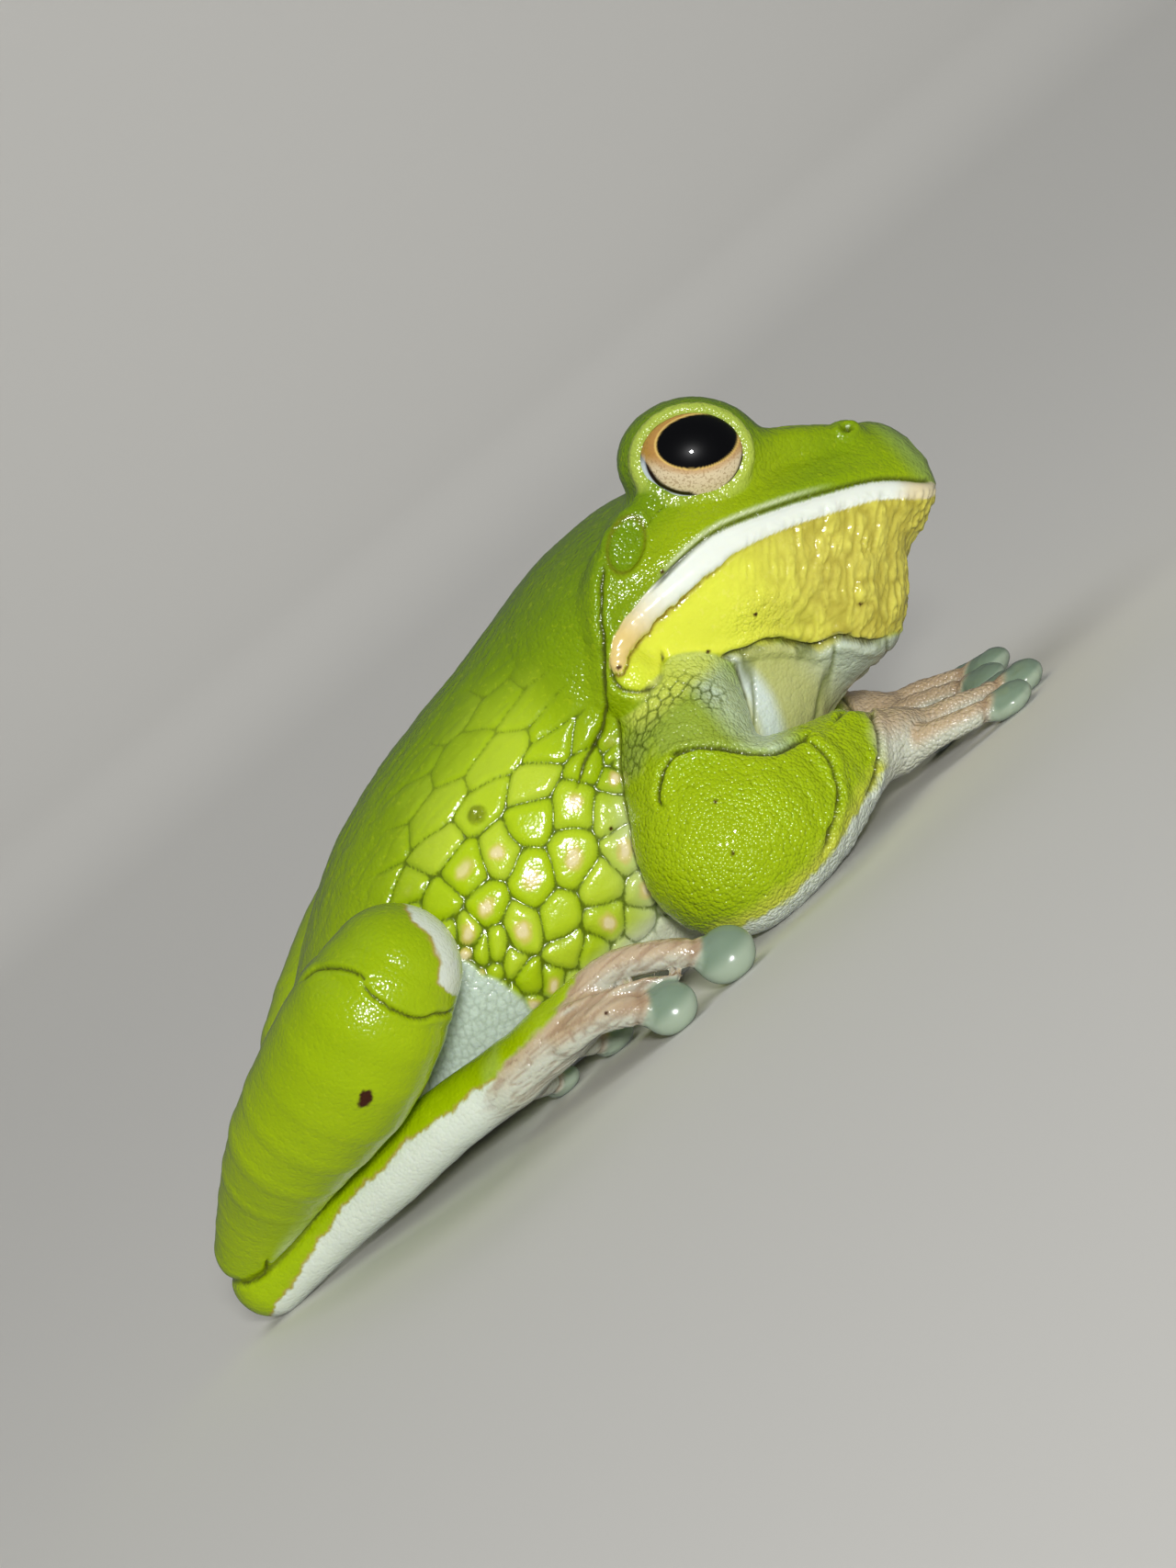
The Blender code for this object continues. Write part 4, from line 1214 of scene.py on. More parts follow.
# %% Folds of the foot and the back
# The green of the shin runs out over the foot in a tongue, with bare pink skin below it.
TONGUE_EDGE = [(-26.0, 2.0), (-24.2, 2.6), (-19.9, 3.8), (-14.0, 4.4), (-8.4, 5.8), (-4.5, 9.5)]
FOOT_FOLD_DEPTH = 0.12
BACK_FOLD_DEPTH = 0.1
band_ragged = 0.4 * unevenness(points, 1.4) + 0.2 * unevenness(points, 0.5)
over_tongue = leg_view[:, 1] - height_at(leg_view, TONGUE_EDGE) + band_ragged
bare_foot = soft(0.5, -0.3, over_tongue) * soft(-27.0, -22.0, leg_view[:, 0])
toe_skin = nearness([TARSUS, SOLE] + WEBS + TOES, 1.0, to_leg) * on_leg * bare_foot
# The folds are pressed in and also painted darker, as painted shade.
web_lines = furrows(points, (18.0, 0.7, 0.5), 3.0, 0.3) * toe_skin
relief -= FOOT_FOLD_DEPTH * web_lines
back_lines = furrows(points, (9.0, 1.7, 1.7), 6.0, 0.3) * on_torso * soft(24.0, 31.0, body_view[:, 1])
relief -= BACK_FOLD_DEPTH * back_lines
print("points in the folds of the foot:", int((web_lines > 0.5).sum()))

# %% [markdown]
# ## Small forms
# The eardrum is a shallow dish in a soft ring, just behind the eye. The nostril is a pit on a
# low mound, and a narrow neck sets each disc off from its finger. These are pressed into the
# skin and not only painted, so that light catches them from every side.

# %% Eardrum, nostril, wart and necks of the discs
EARDRUM = (28.0, 40.4)
EARDRUM_RADII = (3.2, 2.0)
EARDRUM_TILT = math.radians(-35)
EARDRUM_DEPTH = 0.4
EAR_RING_HEIGHT = 0.22
from_ear = head_view - EARDRUM
tilt_cos, tilt_sin = math.cos(EARDRUM_TILT), math.sin(EARDRUM_TILT)
along_ear = from_ear[:, 0] * tilt_cos - from_ear[:, 1] * tilt_sin
across_ear = from_ear[:, 0] * tilt_sin + from_ear[:, 1] * tilt_cos
ear_ratio = np.hypot(along_ear / EARDRUM_RADII[0], across_ear / EARDRUM_RADII[1])
on_ear = on_head * soft(8.0, 12.0, out)
eardrum = soft(1.05, 0.8, ear_ratio) * on_ear
ear_ring = ridge(ear_ratio, 1.02, 0.09) * on_ear
ring_height = EAR_RING_HEIGHT * ridge(ear_ratio, 1.25, 0.16)
relief += on_ear * (ring_height - EARDRUM_DEPTH * soft(1.1, 0.75, ear_ratio))

NOSTRIL = np.array([55.3, 6.0, 34.85])
NOSTRIL_DEPTH = 0.75
MOUND_HEIGHT = 0.3
from_nostril = np.linalg.norm((folded(head_points) - NOSTRIL) * (0.75, 1.0, 1.1), axis=1)
nostril = soft(0.6, 0.3, from_nostril)
relief += MOUND_HEIGHT * ridge(from_nostril, 1.05, 0.35) - NOSTRIL_DEPTH * nostril

WART = (-4.5, 27.7)
WART_HEIGHT = 0.45
right_side = points[:, 1] < 0
from_wart = in_oval(body_view, WART, (1.25, 1.1))
wart = soft(1.1, 0.6, from_wart) * right_side * on_torso
relief += wart * (WART_HEIGHT + 0.3 * unevenness(points, 0.4))

DISC_NECK_DEPTH = 0.22
disc_away = np.minimum(distance_from(FINGER_DISCS), distance_from(TOE_DISCS, to_leg))
# The neck is pressed in and also painted darker, as painted shade.
disc_neck = ridge(disc_away, 0.9, 0.35)
relief -= DISC_NECK_DEPTH * disc_neck
print("points on the eardrums:", int((eardrum > 0.5).sum()))

# %% Fine unevenness everywhere else
smooth_parts = np.maximum.reduce([lip, eardrum, 0.6 * on_leg])
relief += (1 - smooth_parts) * (0.05 * unevenness(points, 1.5) + 0.04 * unevenness(points, 0.75))
grainy = np.maximum(on_arm, 0.5 * on_head) * (1 - smooth_parts) * (1 - throat)
relief += grainy * 0.06 * unevenness(points, 0.55, 4.0)
print("relief from", relief.min().round(2), "to", relief.max().round(2), "mm")

# %% Press the relief into the skin
FLOOR_CLEAR = 0.02
raised = points + normals * relief[:, None]
raised[:, 2] = np.maximum(raised[:, 2], FLOOR_CLEAR)
write_points(skin, raised)
print("points lifted to the floor:", int((raised[:, 2] <= FLOOR_CLEAR).sum()))

# %% [markdown]
# ## Markings
# Every marking becomes a number on each point of the skin, from 0 to 1. The material reads
# these by name and lays its colours over each other in order. Some of these numbers carry
# painted shade in creases and folds, and a painted highlight above the mouth. An image
# painted on the skin would need an unwrapped mesh, and numbers on the points do without.

# %% Fingers, discs and the white band of the tarsus
hand_start = body_view[:, 0] - 0.75 * (body_view[:, 1] - 5) + 2 * band_ragged
finger_skin = nearness([PALM] + FINGERS, 1.2) * on_arm * soft(33.0, 36.0, hand_start)
digits = np.maximum(toe_skin, finger_skin)
discs = soft(0.6, 0.1, disc_away)

TARSUS_BAND = [
    (-60.0, -1.5), (-56.7, 0.0), (-48.8, 2.1), (-44.8, 3.6), (-40.9, 3.8),
    (-34.0, 4.4), (-28.3, 3.9), (-23.0, 3.5), (-20.0, 2.6),
]
on_tarsus = nearness([TARSUS, SOLE], 1.0, to_leg) * on_leg * (1 - nearness([SHIN], 0.5, to_leg))
band_edge = height_at(leg_view, TARSUS_BAND) - leg_view[:, 1] + band_ragged
tarsus_band = soft(-0.1, 0.2, band_edge) * on_tarsus
tarsus_rim = soft(-0.5, -0.1, band_edge) * soft(0.2, 0.0, band_edge) * on_tarsus
print("points on the white band:", int((tarsus_band > 0.5).sum()))

# %% Pale skin under the arm, and the yellow shoulder
FOREARM_EDGE = [
    (8.0, -0.6), (10.8, -1.3), (15.3, -2.2), (20.4, -2.1), (25.2, -0.9), (29.2, 0.4), (34.0, 2.0),
]
under_edge = height_at(body_view, FOREARM_EDGE) - body_view[:, 1] + band_ragged
under_arm = soft(-0.2, 0.4, under_edge) * on_arm
under_arm = np.maximum(under_arm, soft(-0.8, -0.95, facing_up) * on_arm)
arm_low = soft(-2.4, 0.0, under_edge) * on_arm
near_top, _, side_top = path_distance(body_view, ARM_TOP[0])
shoulder = soft(-0.3, 0.5, side_top * near_top + band_ragged) * soft(16.0, 13.0, near_top) * on_arm
shoulder *= soft(14.0, 17.0, body_view[:, 0]) * soft(30.0, 26.0, body_view[:, 0])
print("points under the arms:", int((under_arm > 0.5).sum()))

# %% White patch on the knee, and the underside
KNEE_WHITE = [(-17.6, 27.0), (-15.9, 22.8), (-16.0, 19.4), (-17.6, 16.2), (-20.0, 14.0)]
near_knee, along_knee, side_knee = path_distance(leg_view, KNEE_WHITE)
from_knee = np.where(side_knee > 0, -near_knee, near_knee) + band_ragged
along_share = soft(0.0, 0.25, along_knee) * soft(1.0, 0.9, along_knee)
knee_edge = from_knee - 1.6 * along_share
knee_patch = soft(0.2, -0.2, knee_edge) * soft(-5.0, -4.0, from_knee) * on_leg
knee_patch *= soft(0.0, 0.05, along_share)
knee_rim = soft(0.5, 0.1, knee_edge) * soft(-0.3, 0.0, knee_edge) * on_leg
knee_rim *= soft(0.0, 0.2, along_share)

under_leg = soft(-0.7, -0.95, facing_up) * on_leg * (1 - digits) * soft(9.0, 5.0, points[:, 2])
underside = soft(-0.3, -0.8, facing_up) * on_torso * soft(13.0, 8.0, points[:, 2])
behind_elbow = soft(1.0, 9.0, body_view[:, 0] + 0.35 * (14 - body_view[:, 1]))
pale_front = 0.85 * behind_elbow * soft(22, 15, body_view[:, 1])
pale_low = soft(8.5, 4.0, body_view[:, 1] - 0.12 * body_view[:, 0])
pale_flank = np.maximum(pale_low, pale_front) * on_torso
print("points on the knees' white patches:", int((knee_patch > 0.5).sum()))

# %% Tones of the head, and where the skin is grainy
cheek = soft(1.3, 0.3, in_oval(head_view, (39.0, 37.0), (16.0, 4.5))) * on_head
lip_end = np.maximum(soft(0.62, 0.9, along_lip), 0.6 * soft(0.09, 0.03, along_lip))
snout_tip = soft(56.8, 59.6, head_points[:, 0]) * on_head
jowl_skin = soft(1.25, 0.6, in_oval(head_view, (20.8, 28.4), (3.6, 4.0))) * side_of_neck
lid_skin = soft(0.8, 0.0, distance_to(LID_RING, folded(head_points))) * on_head
# Painted shade on the throat just below the lip.
painted_shade_under_lip = soft(3.0, 0.3, below_lip_line) * throat
grain = np.maximum.reduce([on_arm, 0.5 * on_head, 0.35 * on_torso, 0.3 * on_leg])
grain *= 1 - 0.6 * on_flank
wet_patch = soft(2.6, 0.6, in_oval(head_view, (34.0, 24.5), (2.2, 1.6)))
grain = mix(grain, mix(0.15, 0.9, wet_patch), throat)
print("mean grain of the skin:", grain.mean().round(2))

# %% Brown spot and dark specks, on the right side only
SPECK_RADII = (0.28, 0.24)
BROWN_SPOT = (-34.9, 11.2)
SPECKS = [
    (6.1, 16.8), (14.9, 5.7), (17.1, 11.5), (44.2, 17.9), (40.5, 16.1),
    (27.3, 25.2), (34.2, 24.9), (18.5, 30.2), (-7.8, 1.0), (29.2, 35.4),
]
from_spot = in_oval(leg_view, BROWN_SPOT, (1.0, 0.8)) + 0.35 * unevenness(points, 0.5)
brown_spot = soft(1.15, 0.85, from_spot) * right_side * on_leg
specks = np.zeros(len(points))
for speck in SPECKS:
    specks = np.maximum(specks, soft(1.3, 0.6, in_oval(body_view, speck, SPECK_RADII)))
specks = np.maximum(specks * right_side * soft(0.2, 0.5, out), brown_spot)
print("points on specks:", int((specks > 0.5).sum()))

# %% Names of the masks
MASKS = {
    # Painted shade in creases, the mouth line and the nostrils.
    "painted_crease_shade": np.maximum.reduce([dark, mouth, nostril]),
    "cobbled": soft(-1.0, 9.0, patch) * beside_limbs,
    "painted_cobble_crease_shade": cobble_crease_shade,
    "painted_cobble_edge_shade": cobble_edge_shade,
    "cobble_tone": cell_tone,
    "cobble_spot": pale_spot,
    "cobble_rim": spot_rim,
    "pale_flank": pale_flank,
    "groin": groin,
    "armpit": np.maximum(armpit * (1 - throat), 0.8 * shoulder),
    "armpit_front": soft(22.0, 25.5, body_view[:, 0]),
    "arm_low": arm_low,
    "shoulder_top": shoulder * soft(22.0, 24.5, body_view[:, 1]),
    "jowl": jowl_skin,
    "cheek": cheek,
    "lid": lid_skin,
    "snout_tip": snout_tip,
    "painted_shade_under_lip": painted_shade_under_lip,
    "grain": grain,
    "lip": lip,
    "lip_end": lip_end,
    "lip_shadow": lip_shadow * soft(0.35, 0.6, along_lip),
    "painted_lip_highlight": mouth_highlight,
    "throat": throat,
    "throat_front": toward_front,
    # Painted shade in the throat's wrinkles.
    "wrinkle": pleated * np.maximum(wrinkle, 0.6 * fine_wrinkle),
    "eardrum": eardrum,
    "ear_ring": ear_ring,
    "digits": digits,
    "digit_low": soft(0.6, -0.3, facing_up),
    "discs": discs,
    "disc_rim": discs * soft(0.5, 0.0, facing_up),
    # Painted shade in the neck of each disc.
    "disc_neck": disc_neck * digits,
    # Painted shade in the folds of the foot.
    "web_lines": web_lines,
    "white_band": np.maximum.reduce([tarsus_band, under_arm, knee_patch, under_leg]),
    "pink_rim": np.maximum(tarsus_rim, knee_rim),
    "underside": underside,
    "chest": chest,
    "chest_front": soft(33.0, 39.0, body_view[:, 0]),
    "pale_arc": pale_arc,
    # Painted shade in the chest's folds.
    "chest_lines": chest_lines,
    "wart": wart,
    "specks": specks,
    "back": soft(16.0, 46.0, points[:, 2]),
}
print("the mask that covers most:", max(MASKS, key=lambda name: MASKS[name].mean()))


# %% Write the masks on the skin
def write_masks(mesh, masks):
    """Keep each mask as a number on every point, for a material to read by name."""
    for name, values in masks.items():
        layer = mesh.attributes.new(name, "FLOAT", "POINT")
        layer.data.foreach_set("value", values.astype(np.float32))


write_masks(skin.data, MASKS)
skin.data.transform(Matrix.Scale(MM, 4))
skin.data.shade_smooth()
print("masks on the skin:", len(MASKS))

# %% [markdown]
# ## Finish of the skin
# Living frog skin is wet: a thin film of water lies over fine grains, so it sparkles in many
# small points instead of one broad shine. Two node groups make this: one gives the height of
# the grains, the other mottles a colour. The skin's own material lays the markings in order.
# A little light is let into the skin as well, because living flesh is never quite opaque.


# %% Colours and fixed values
def tone(red, green, blue):
    """A colour as the eye reads it, from 0 to 255, for a shader."""
    parts = [c / 255 for c in (red, green, blue)]
    linear = [c / 12.92 if c <= 0.04045 else ((c + 0.055) / 1.055) ** 2.4 for c in parts]
    return (*linear, 1.0)


def set_inputs(node, values):
    """Fixed values on a node's sockets, by the sockets' names."""
    for label, value in values.items():
        node.inputs[label].default_value = value


print("the green of the back as a shader reads it:", [round(part, 3) for part in tone(104, 138, 2)])


# %% A board for nodes
class Board:
    """A node tree with short ways to place and join nodes."""

    def __init__(self, tree):
        self.tree = tree

    def add(self, kind, **settings):
        """A new shader node of a kind, with its settings."""
        node = self.tree.nodes.new("ShaderNode" + kind)
        for key, value in settings.items():
            setattr(node, key, value)
        return node

    def join(self, source, target):
        """Join an output to an input."""
        self.tree.links.new(source, target)

    def feed(self, socket, value):
        """Join another node's socket, or set a fixed value."""
        if isinstance(value, bpy.types.NodeSocket):
            self.join(value, socket)
        else:
            socket.default_value = value

    def mask(self, name):
        """A number that the mesh keeps on its points."""
        return self.add("Attribute", attribute_name=name).outputs["Fac"]

    def maths(self, operation, a, b=0.0, clamp=False):
        """Two numbers put together by an operation."""
        node = self.add("Math", operation=operation, use_clamp=clamp)
        self.feed(node.inputs[0], a)
        self.feed(node.inputs[1], b)
        return node.outputs[0]

    def layer(self, under, over, share):
        """One colour laid over another by a share from 0 to 1."""
        node = self.add("Mix", data_type="RGBA", blend_type="MIX")
        self.feed(node.inputs[0], share)
        self.feed(node.inputs[6], under)
        self.feed(node.inputs[7], over)
        return node.outputs[2]

    def lay(self, under, *markings):
        """Markings over a colour, in order: each has its mask's name, its colour and a share."""
        for name, over, share in markings:
            mask = self.mask(name)
            under = self.layer(under, over, mask if share == 1 else self.maths("MULTIPLY", mask, share))
        return under

    def noise(self, scale, detail):
        """Cloudy noise over the object, with its scale per metre."""
        node = self.add("TexNoise")
        self.join(self.add("TexCoord").outputs["Object"], node.inputs["Vector"])
        set_inputs(node, {"Scale": scale, "Detail": detail})
        return node.outputs["Fac"]

    def group(self, tree, **values):
        """A node group placed with its own values."""
        node = self.add("Group", node_tree=tree)
        for key, value in values.items():
            self.feed(node.inputs[key], value)
        return node


# %% New groups and materials
def new_group(name, inputs, outputs):
    """An empty node group with named inputs and outputs."""
    tree = bpy.data.node_groups.new(name, "ShaderNodeTree")
    for label, kind, value in inputs:
        socket = tree.interface.new_socket(label, in_out="INPUT", socket_type="NodeSocket" + kind)
        if value is not None:
            socket.default_value = value
    for label, kind in outputs:
        tree.interface.new_socket(label, in_out="OUTPUT", socket_type="NodeSocket" + kind)
    return Board(tree), (tree.nodes.new("NodeGroupInput"), tree.nodes.new("NodeGroupOutput"))


def new_finish(name):
    """A new material, its board and its Principled shader."""
    material = bpy.data.materials.new(name)
    material.use_nodes = True
    return material, Board(material.node_tree), material.node_tree.nodes["Principled BSDF"]


# %% Group: wet grains
def make_wet_grains():
    """Height of fine rounded grains, with larger soft swells between them."""
    board, (given, made) = new_group(
        "wet_grains",
        [("Grains per metre", "Float", 1800.0), ("Swell", "Float", 0.5)],
        [("Height", "Float")],
    )
    grain = board.add("TexVoronoi")
    board.join(board.add("TexCoord").outputs["Object"], grain.inputs["Vector"])
    board.join(given.outputs["Grains per metre"], grain.inputs["Scale"])
    squared = board.maths("MULTIPLY", grain.outputs["Distance"], grain.outputs["Distance"])
    rounded = board.maths("SUBTRACT", 1.0, squared)
    swelling = board.maths("MULTIPLY", board.noise(900.0, 3.0), given.outputs["Swell"])
    board.join(board.maths("ADD", rounded, swelling), made.inputs["Height"])
    return board.tree


WET_GRAINS = make_wet_grains()
print("wet grains:", len(WET_GRAINS.nodes), "nodes")


# %% Group: mottle
def make_mottle():
    """A colour broken by cloudy patches and fine specks of two near tones."""
    board, (given, made) = new_group(
        "mottle",
        [
            ("Colour", "Color", (0.5, 0.5, 0.5, 1)),
            ("Cloud", "Color", (0.4, 0.4, 0.4, 1)),
            ("Speck", "Color", (0.6, 0.6, 0.6, 1)),
            ("Amount", "Float", 0.5),
        ],
        [("Colour", "Color")],
    )
    cloudy = board.maths("MULTIPLY", board.noise(110.0, 4.0), given.outputs["Amount"])
    speck = board.maths("GREATER_THAN", board.noise(1500.0, 2.0), 0.64)
    specked = board.maths("MULTIPLY", speck, 0.2)
    clouded = board.layer(given.outputs["Colour"], given.outputs["Cloud"], cloudy)
    board.join(board.layer(clouded, given.outputs["Speck"], specked), made.inputs["Colour"])
    return board.tree


MOTTLE = make_mottle()
print("mottle:", len(MOTTLE.nodes), "nodes")


# %% Greens and pale skin of the body
def body_colour(board):
    """Dark green above, bright green low down, pale cobbles, chest and belly, with painted shade at the
    cobbles' edges and in the chest's folds.
    """
    green = board.layer(tone(172, 198, 2), tone(104, 138, 2), board.mask("back"))
    green = board.group(
        MOTTLE, Colour=green, Cloud=tone(134, 164, 2), Speck=tone(188, 206, 24), Amount=0.5
    )
    tint = board.maths("MULTIPLY", board.maths("ADD", board.mask("cobble_tone"), 1.0), 0.3)
    cobble = board.layer(tone(184, 212, 18), tone(214, 230, 80), tint)
    pale = board.layer(tone(214, 222, 120), tone(206, 216, 176), board.mask("pale_flank"))
    pit = board.layer(tone(150, 170, 74), tone(206, 220, 208), board.mask("armpit_front"))
    breast = board.layer(tone(200, 202, 130), tone(205, 215, 200), board.mask("chest_front"))
    return board.lay(
        green.outputs["Colour"],
        ("cheek", tone(168, 190, 4), 0.6),
        ("lid", tone(196, 212, 96), 0.6),
        ("jowl", tone(222, 236, 58), 0.9),
        ("cobbled", cobble, 0.75),
        # Painted shade towards each cobble's edge.
        ("painted_cobble_edge_shade", tone(134, 164, 8), 0.5),
        ("pale_flank", pale, 1),
        ("cobble_rim", tone(232, 190, 122), 0.5),
        ("cobble_spot", tone(242, 226, 186), 0.75),
        ("arm_low", tone(226, 222, 90), 0.6),
        ("snout_tip", tone(140, 165, 110), 0.5),
        ("groin", tone(204, 220, 206), 1),
        ("armpit", pit, 0.75),
        ("shoulder_top", tone(210, 222, 92), 0.85),
        ("underside", tone(228, 230, 208), 1),
        ("chest", breast, 0.9),
        ("pale_arc", tone(222, 234, 226), 1),
        # Painted shade in the chest's folds.
        ("chest_lines", tone(110, 120, 50), 0.8),
    )


# %% Throat, lip, digits, and painted shade and highlight over them
def marked_colour(board, colour):
    """The markings that lie over the greens: throat, white bands, digits, ear and lip, with painted
    shade in creases and folds and a painted highlight above the mouth.
    """
    sac = board.layer(tone(230, 238, 66), tone(228, 218, 104), board.mask("throat_front"))
    sac = board.group(
        MOTTLE, Colour=sac, Cloud=tone(238, 238, 84), Speck=tone(246, 240, 130), Amount=0.6
    )
    sac = board.lay(
        sac.outputs["Colour"],
        # Painted shade just below the lip.
        ("painted_shade_under_lip", tone(190, 180, 60), 0.45),
        # Painted shade in the throat's wrinkles.
        ("wrinkle", tone(150, 130, 30), 0.6),
    )
    toe = board.layer(tone(196, 168, 134), tone(206, 210, 194), board.mask("digit_low"))
    digit = board.group(
        MOTTLE, Colour=toe, Cloud=tone(200, 196, 170), Speck=tone(230, 220, 200), Amount=0.5
    )
    lip = board.layer(tone(240, 246, 234), tone(232, 205, 130), board.mask("lip_end"))
    return board.lay(
        colour,
        ("throat", sac, 1),
        ("pink_rim", tone(190, 140, 90), 0.6),
        ("white_band", tone(226, 234, 220), 1),
        ("digits", digit.outputs["Colour"], 1),
        # Painted shade in the folds of the foot.
        ("web_lines", tone(140, 100, 70), 0.5),
        # Painted shade in the neck of each disc.
        ("disc_neck", tone(150, 120, 90), 0.6),
        ("discs", tone(126, 146, 124), 1),
        ("disc_rim", tone(176, 190, 168), 0.7),
        ("eardrum", tone(112, 146, 2), 0.7),
        ("ear_ring", tone(112, 112, 15), 0.7),
        # Painted highlight along the upper edge of the mouth line.
        ("painted_lip_highlight", tone(232, 240, 206), 0.7),
        ("lip_shadow", tone(120, 84, 26), 0.9),
        ("lip", lip, 1),
        # Painted shade in the creases between cobbles.
        ("painted_cobble_crease_shade", tone(78, 96, 6), 0.85),
        # Painted shade in creases, the mouth line and the nostrils.
        ("painted_crease_shade", tone(66, 70, 14), 0.85),
        ("wart", tone(88, 92, 10), 0.6),
        ("specks", tone(66, 30, 12), 1),
    )


# %% Wet skin
WET_SKIN = {
    "Roughness": 0.2,
    "Specular IOR Level": 0.5,
    "Coat Weight": 0.15,
    "Coat Roughness": 0.06,
    "Subsurface Weight": 0.12,
    "Subsurface Radius": (1.0, 0.8, 0.25),
    "Subsurface Scale": 0.0012,
}
GRAIN_HEIGHT = 0.0002


def make_skin_finish():
    """The frog's colours under wet grains, which leave lip and discs smooth."""
    material, board, shader = new_finish("frog_skin")
    board.join(marked_colour(board, body_colour(board)), shader.inputs["Base Color"])
    grains = board.group(WET_GRAINS, **{"Grains per metre": 2400.0, "Swell": 0.6})
    smooth = board.maths("MAXIMUM", board.mask("lip"), board.mask("discs"))
    rough = board.maths("MULTIPLY", board.mask("grain"), board.maths("SUBTRACT", 1.0, smooth))
    bump = board.add("Bump")
    board.join(board.maths("MULTIPLY", grains.outputs["Height"], rough), bump.inputs["Height"])
    set_inputs(bump, {"Strength": 1.0, "Distance": GRAIN_HEIGHT})
    board.join(bump.outputs["Normal"], shader.inputs["Normal"])
    set_inputs(shader, WET_SKIN)
    return material


SKIN_FINISH = make_skin_finish()
skin.data.materials.clear()
skin.data.materials.append(SKIN_FINISH)
print("skin finish:", len(SKIN_FINISH.node_tree.nodes), "nodes")

# %% Put the skin in place of the solids of flesh
flesh_nodes = [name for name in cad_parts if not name.startswith("eye_")]
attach(skin, "root")
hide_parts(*flesh_nodes)
print("nodes under the skin:", len(flesh_nodes))

# %% [markdown]
# ## Eyes
# A tree frog's eye is a dark, wide pupil in a golden iris, under a clear wet cornea. It could
# be built of a bowl and a glass shell. A single ball reads as well from this far: pupil, iris
# and the rim of the third lid are numbers on its points, and a smooth clear coat over them
# stands for the cornea, so that one bright spot shows on the wet dome.

# %% Finish of the eyes
WET_EYE = {
    "Roughness": 0.35,
    "Specular IOR Level": 0.1,
    "Coat Weight": 1.0,
    "Coat IOR": 1.33,
    "Coat Roughness": 0.01,
}


def make_iris_finish():
    """A black pupil, a golden inner ring and a beige iris with brown specks."""
    material, board, shader = new_finish("iris")
    iris = board.layer(tone(226, 208, 172), tone(180, 138, 60), board.mask("iris_upper"))
    speck = board.maths("GREATER_THAN", board.noise(3600.0, 3.0), 0.56)
    iris = board.layer(iris, tone(146, 106, 60), board.maths("MULTIPLY", speck, 0.45))
    iris = board.lay(
        iris,
        ("iris_glow", tone(190, 140, 80), 0.6),
        ("iris_ring", tone(232, 196, 110), 1),
        ("iris_rim", tone(30, 16, 8), 1),
        ("third_lid", tone(214, 226, 230), 1),
        ("pupil", tone(3, 3, 5), 1),
    )
    board.join(iris, shader.inputs["Base Color"])
    set_inputs(shader, WET_EYE)
    return material


IRIS = make_iris_finish()
print("eye finish:", len(IRIS.node_tree.nodes), "nodes")

# %% Pupil, rings and third lid
PUPIL_CENTRE = (0.85, 1.5)
PUPIL_RADII = (4.5, 2.9)
RING = 0.2
THIRD_LID_ANGLES = (165, 185, 255, 275)


def eye_masks(own):
    """Pupil, rings and lid on points in the eyeball's own frame, where y looks out."""
    x, z = own[:, 0], own[:, 2]
    facing = own[:, 1] > 0
    ratio = in_oval(own[:, [0, 2]], PUPIL_CENTRE, PUPIL_RADII)
    from_edge = (ratio - 1) * PUPIL_RADII[1]
    rim = np.hypot(x / LID_OPENING[0], z / LID_OPENING[1])
    angle = np.degrees(np.arctan2(z, x)) % 360
    start, full, fade, end = THIRD_LID_ANGLES
    behind = soft(start, full, angle) * soft(end, fade, angle)
    rim_start = 0.9 - 0.04 * soft(0.5, -1.5, z) - 0.13 * behind
    return {
        "pupil": soft(0.06, -0.06, from_edge) * facing,
        "iris_glow": soft(0.9, 0.3, from_edge) * facing,
        "iris_ring": soft(RING, RING - 0.1, from_edge) * facing,
        "iris_upper": soft(-1.2, 1.2, z),
        "iris_rim": soft(rim_start, rim_start + 0.04, rim),
        "third_lid": soft(0.83, 0.85, rim) * behind,
    }


pupil_middle = np.array([[PUPIL_CENTRE[0], 5.0, PUPIL_CENTRE[1]]])
print("the pupil's mask at its own middle:", eye_masks(pupil_middle)["pupil"])


# %% The eyeballs
def make_eye(side_name, side):
    """An eyeball in its place in the head, on one side."""
    bm = bmesh.new()
    bmesh.ops.create_uvsphere(bm, u_segments=128, v_segments=96, radius=1)
    bmesh.ops.transform(bm, matrix=Matrix.Rotation(math.radians(90), 4, "X"), verts=bm.verts[:])
    mesh = bpy.data.meshes.new("eyeball_" + side_name)
    bm.to_mesh(mesh)
    bm.free()
    item = shown("eyeball_" + side_name, mesh)
    own = read_points(item) * EYE_RADII
    write_masks(mesh, eye_masks(own))
    place = Matrix.Translation(EYE_CENTRE) @ Matrix.Rotation(math.radians(EYE_PITCH), 4, "Y")
    mirrored = HEAD_FRAME @ Matrix.Diagonal((1, side, 1, 1)) @ place
    write_points(item, moved(own, mirrored) * MM)
    if side < 0:
        mesh.flip_normals()
    mesh.shade_smooth()
    mesh.materials.append(IRIS)
    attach(item, "root")
    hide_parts("eye_" + side_name)
    return len(mesh.polygons)


for side_name, side in (("right", -1), ("left", 1)):
    print(side_name, "eye faces:", make_eye(side_name, side))

# %% [markdown]
# ## Floor
# The model stands on a plain pale floor that curves up far behind it, like a roll of paper in
# a photo studio, so no edge shows. It is a stage only, and is no part of the model.

# %% Floor
BEND_ANGLES = np.radians(np.arange(4, 91, 4))


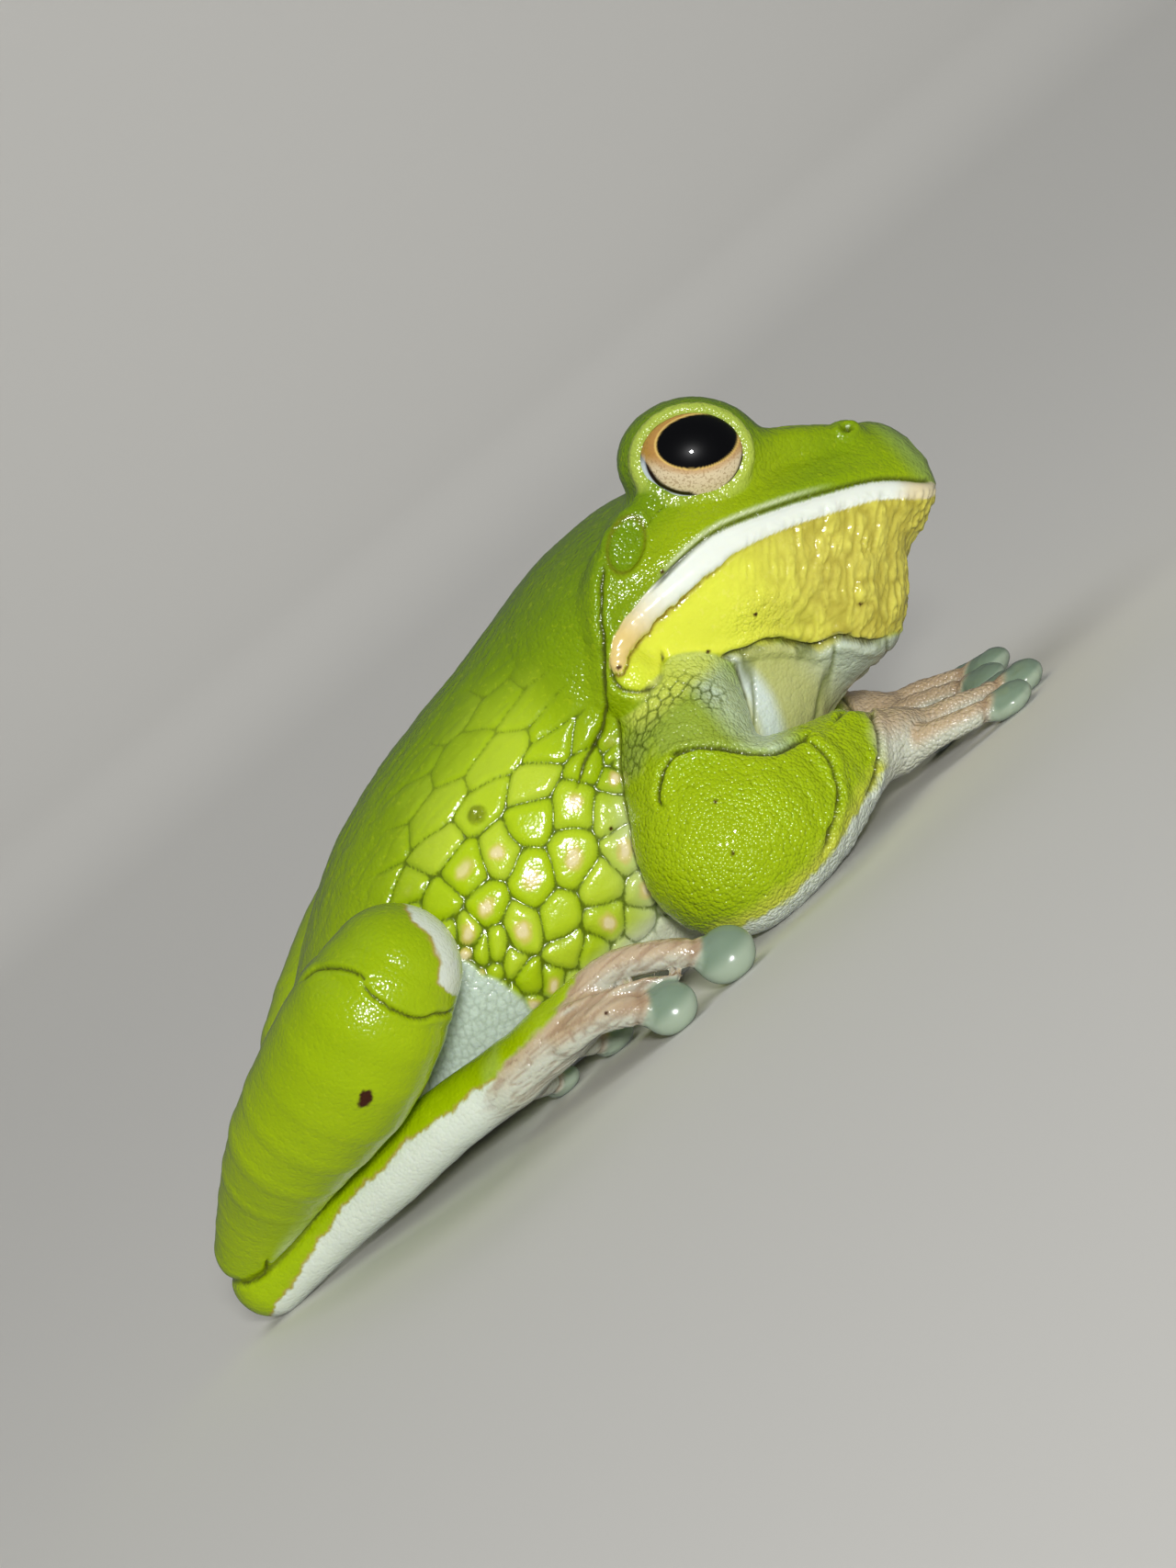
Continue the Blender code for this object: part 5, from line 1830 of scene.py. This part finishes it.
def make_floor(half_width, front, bend_start, bend_radius, height):
    """A flat floor, in metres, that bends up behind the model like a sheet of paper."""
    line = [(front, 0.0), (bend_start, 0.0)]
    for angle in BEND_ANGLES:
        rise = bend_radius * (1 - math.cos(angle))
        line.append((bend_start + bend_radius * math.sin(angle), rise))
    line.append((bend_start + bend_radius, height))
    corners = [(x, y, z) for y, z in line for x in (-half_width, half_width)]
    faces = [(i, i + 1, i + 3, i + 2) for i in range(0, len(corners) - 2, 2)]
    mesh = bpy.data.meshes.new("floor")
    mesh.from_pydata(corners, [], faces)
    mesh.shade_smooth()
    return shown("floor", mesh)


floor = make_floor(half_width=4.0, front=-3.0, bend_start=1.4, bend_radius=0.9, height=3.0)
floor_finish, _, floor_shader = new_finish("pale_floor")
set_inputs(floor_shader, {"Base Color": tone(222, 220, 214), "Roughness": 0.8})
floor.data.materials.append(floor_finish)
# A wide pale floor mirrored at a low angle would turn the wet green skin milky.
floor.visible_glossy = False
print("floor points:", len(floor.data.vertices))

# %% [markdown]
# ## Light
# A small soft light close to the camera models the frog as a flash does, and it alone is
# mirrored in the wet skin. A second one fills from above, two wide ones wash the floor behind
# and its curve, and a pale world keeps the shadows open.


# %% Lights
def add_light(name, place, aim, size, power, mirrored=False):
    """A square soft light, placed and aimed in metres. Only a mirrored one shines back."""
    light = bpy.data.lights.new(name, "AREA")
    light.size = size
    light.energy = power
    item = bpy.data.objects.new(name, light)
    bpy.context.scene.collection.objects.link(item)
    item.location = place
    item.visible_glossy = mirrored
    item.rotation_euler = (Vector(aim) - Vector(place)).to_track_quat("-Z", "Y").to_euler()


frog_middle = TARGET * MM
add_light("key_by_the_camera", (0.10, -1.15, 0.26), frog_middle, 0.11, 10.5, mirrored=True)
add_light("fill_above", (-0.1, -0.1, 0.9), frog_middle, 0.7, 2.1)
add_light("wash_of_the_floor", (0.0, 0.9, 0.8), (0.0, 0.9, 0.0), 0.7, 2.0)
add_light("wash_of_the_curve", (0.0, 0.9, 1.6), (0.0, 3.0, 1.4), 1.2, 14.0)

world = bpy.data.worlds.new("studio")
world.use_nodes = True
set_inputs(world.node_tree.nodes["Background"], {"Color": (0.92, 0.96, 1.0, 1.0), "Strength": 0.12})
bpy.context.scene.world = world
bpy.context.scene.view_settings.view_transform = "Standard"
print("lights:", [light.name for light in bpy.data.lights])

# %% [markdown]
# ## Camera
# The camera stands beside the frog, a little above the floor. Its roll turns the level floor
# up to the slope of the picture, and a long lens keeps the head and the foot in proportion.

# %% Camera
camera_data = bpy.data.cameras.new("camera")
camera = bpy.data.objects.new("camera", camera_data)
bpy.context.scene.collection.objects.link(camera)
level_right = np.array([1.0, 0.0, 0.0])
level_up = np.cross(TO_CAMERA, level_right)
right = math.cos(CAMERA_ROLL) * level_right - math.sin(CAMERA_ROLL) * level_up
up = math.sin(CAMERA_ROLL) * level_right + math.cos(CAMERA_ROLL) * level_up
axes = Matrix([right, up, TO_CAMERA]).transposed().to_4x4()
camera.matrix_world = Matrix.Translation(Vector(SIDE_POINT * MM)) @ axes
camera_data.sensor_width = SENSOR
camera_data.lens = SENSOR * CAMERA_DISTANCE / PICTURE_HEIGHT
bpy.context.scene.camera = camera
print("lens:", round(camera_data.lens, 1), "mm")
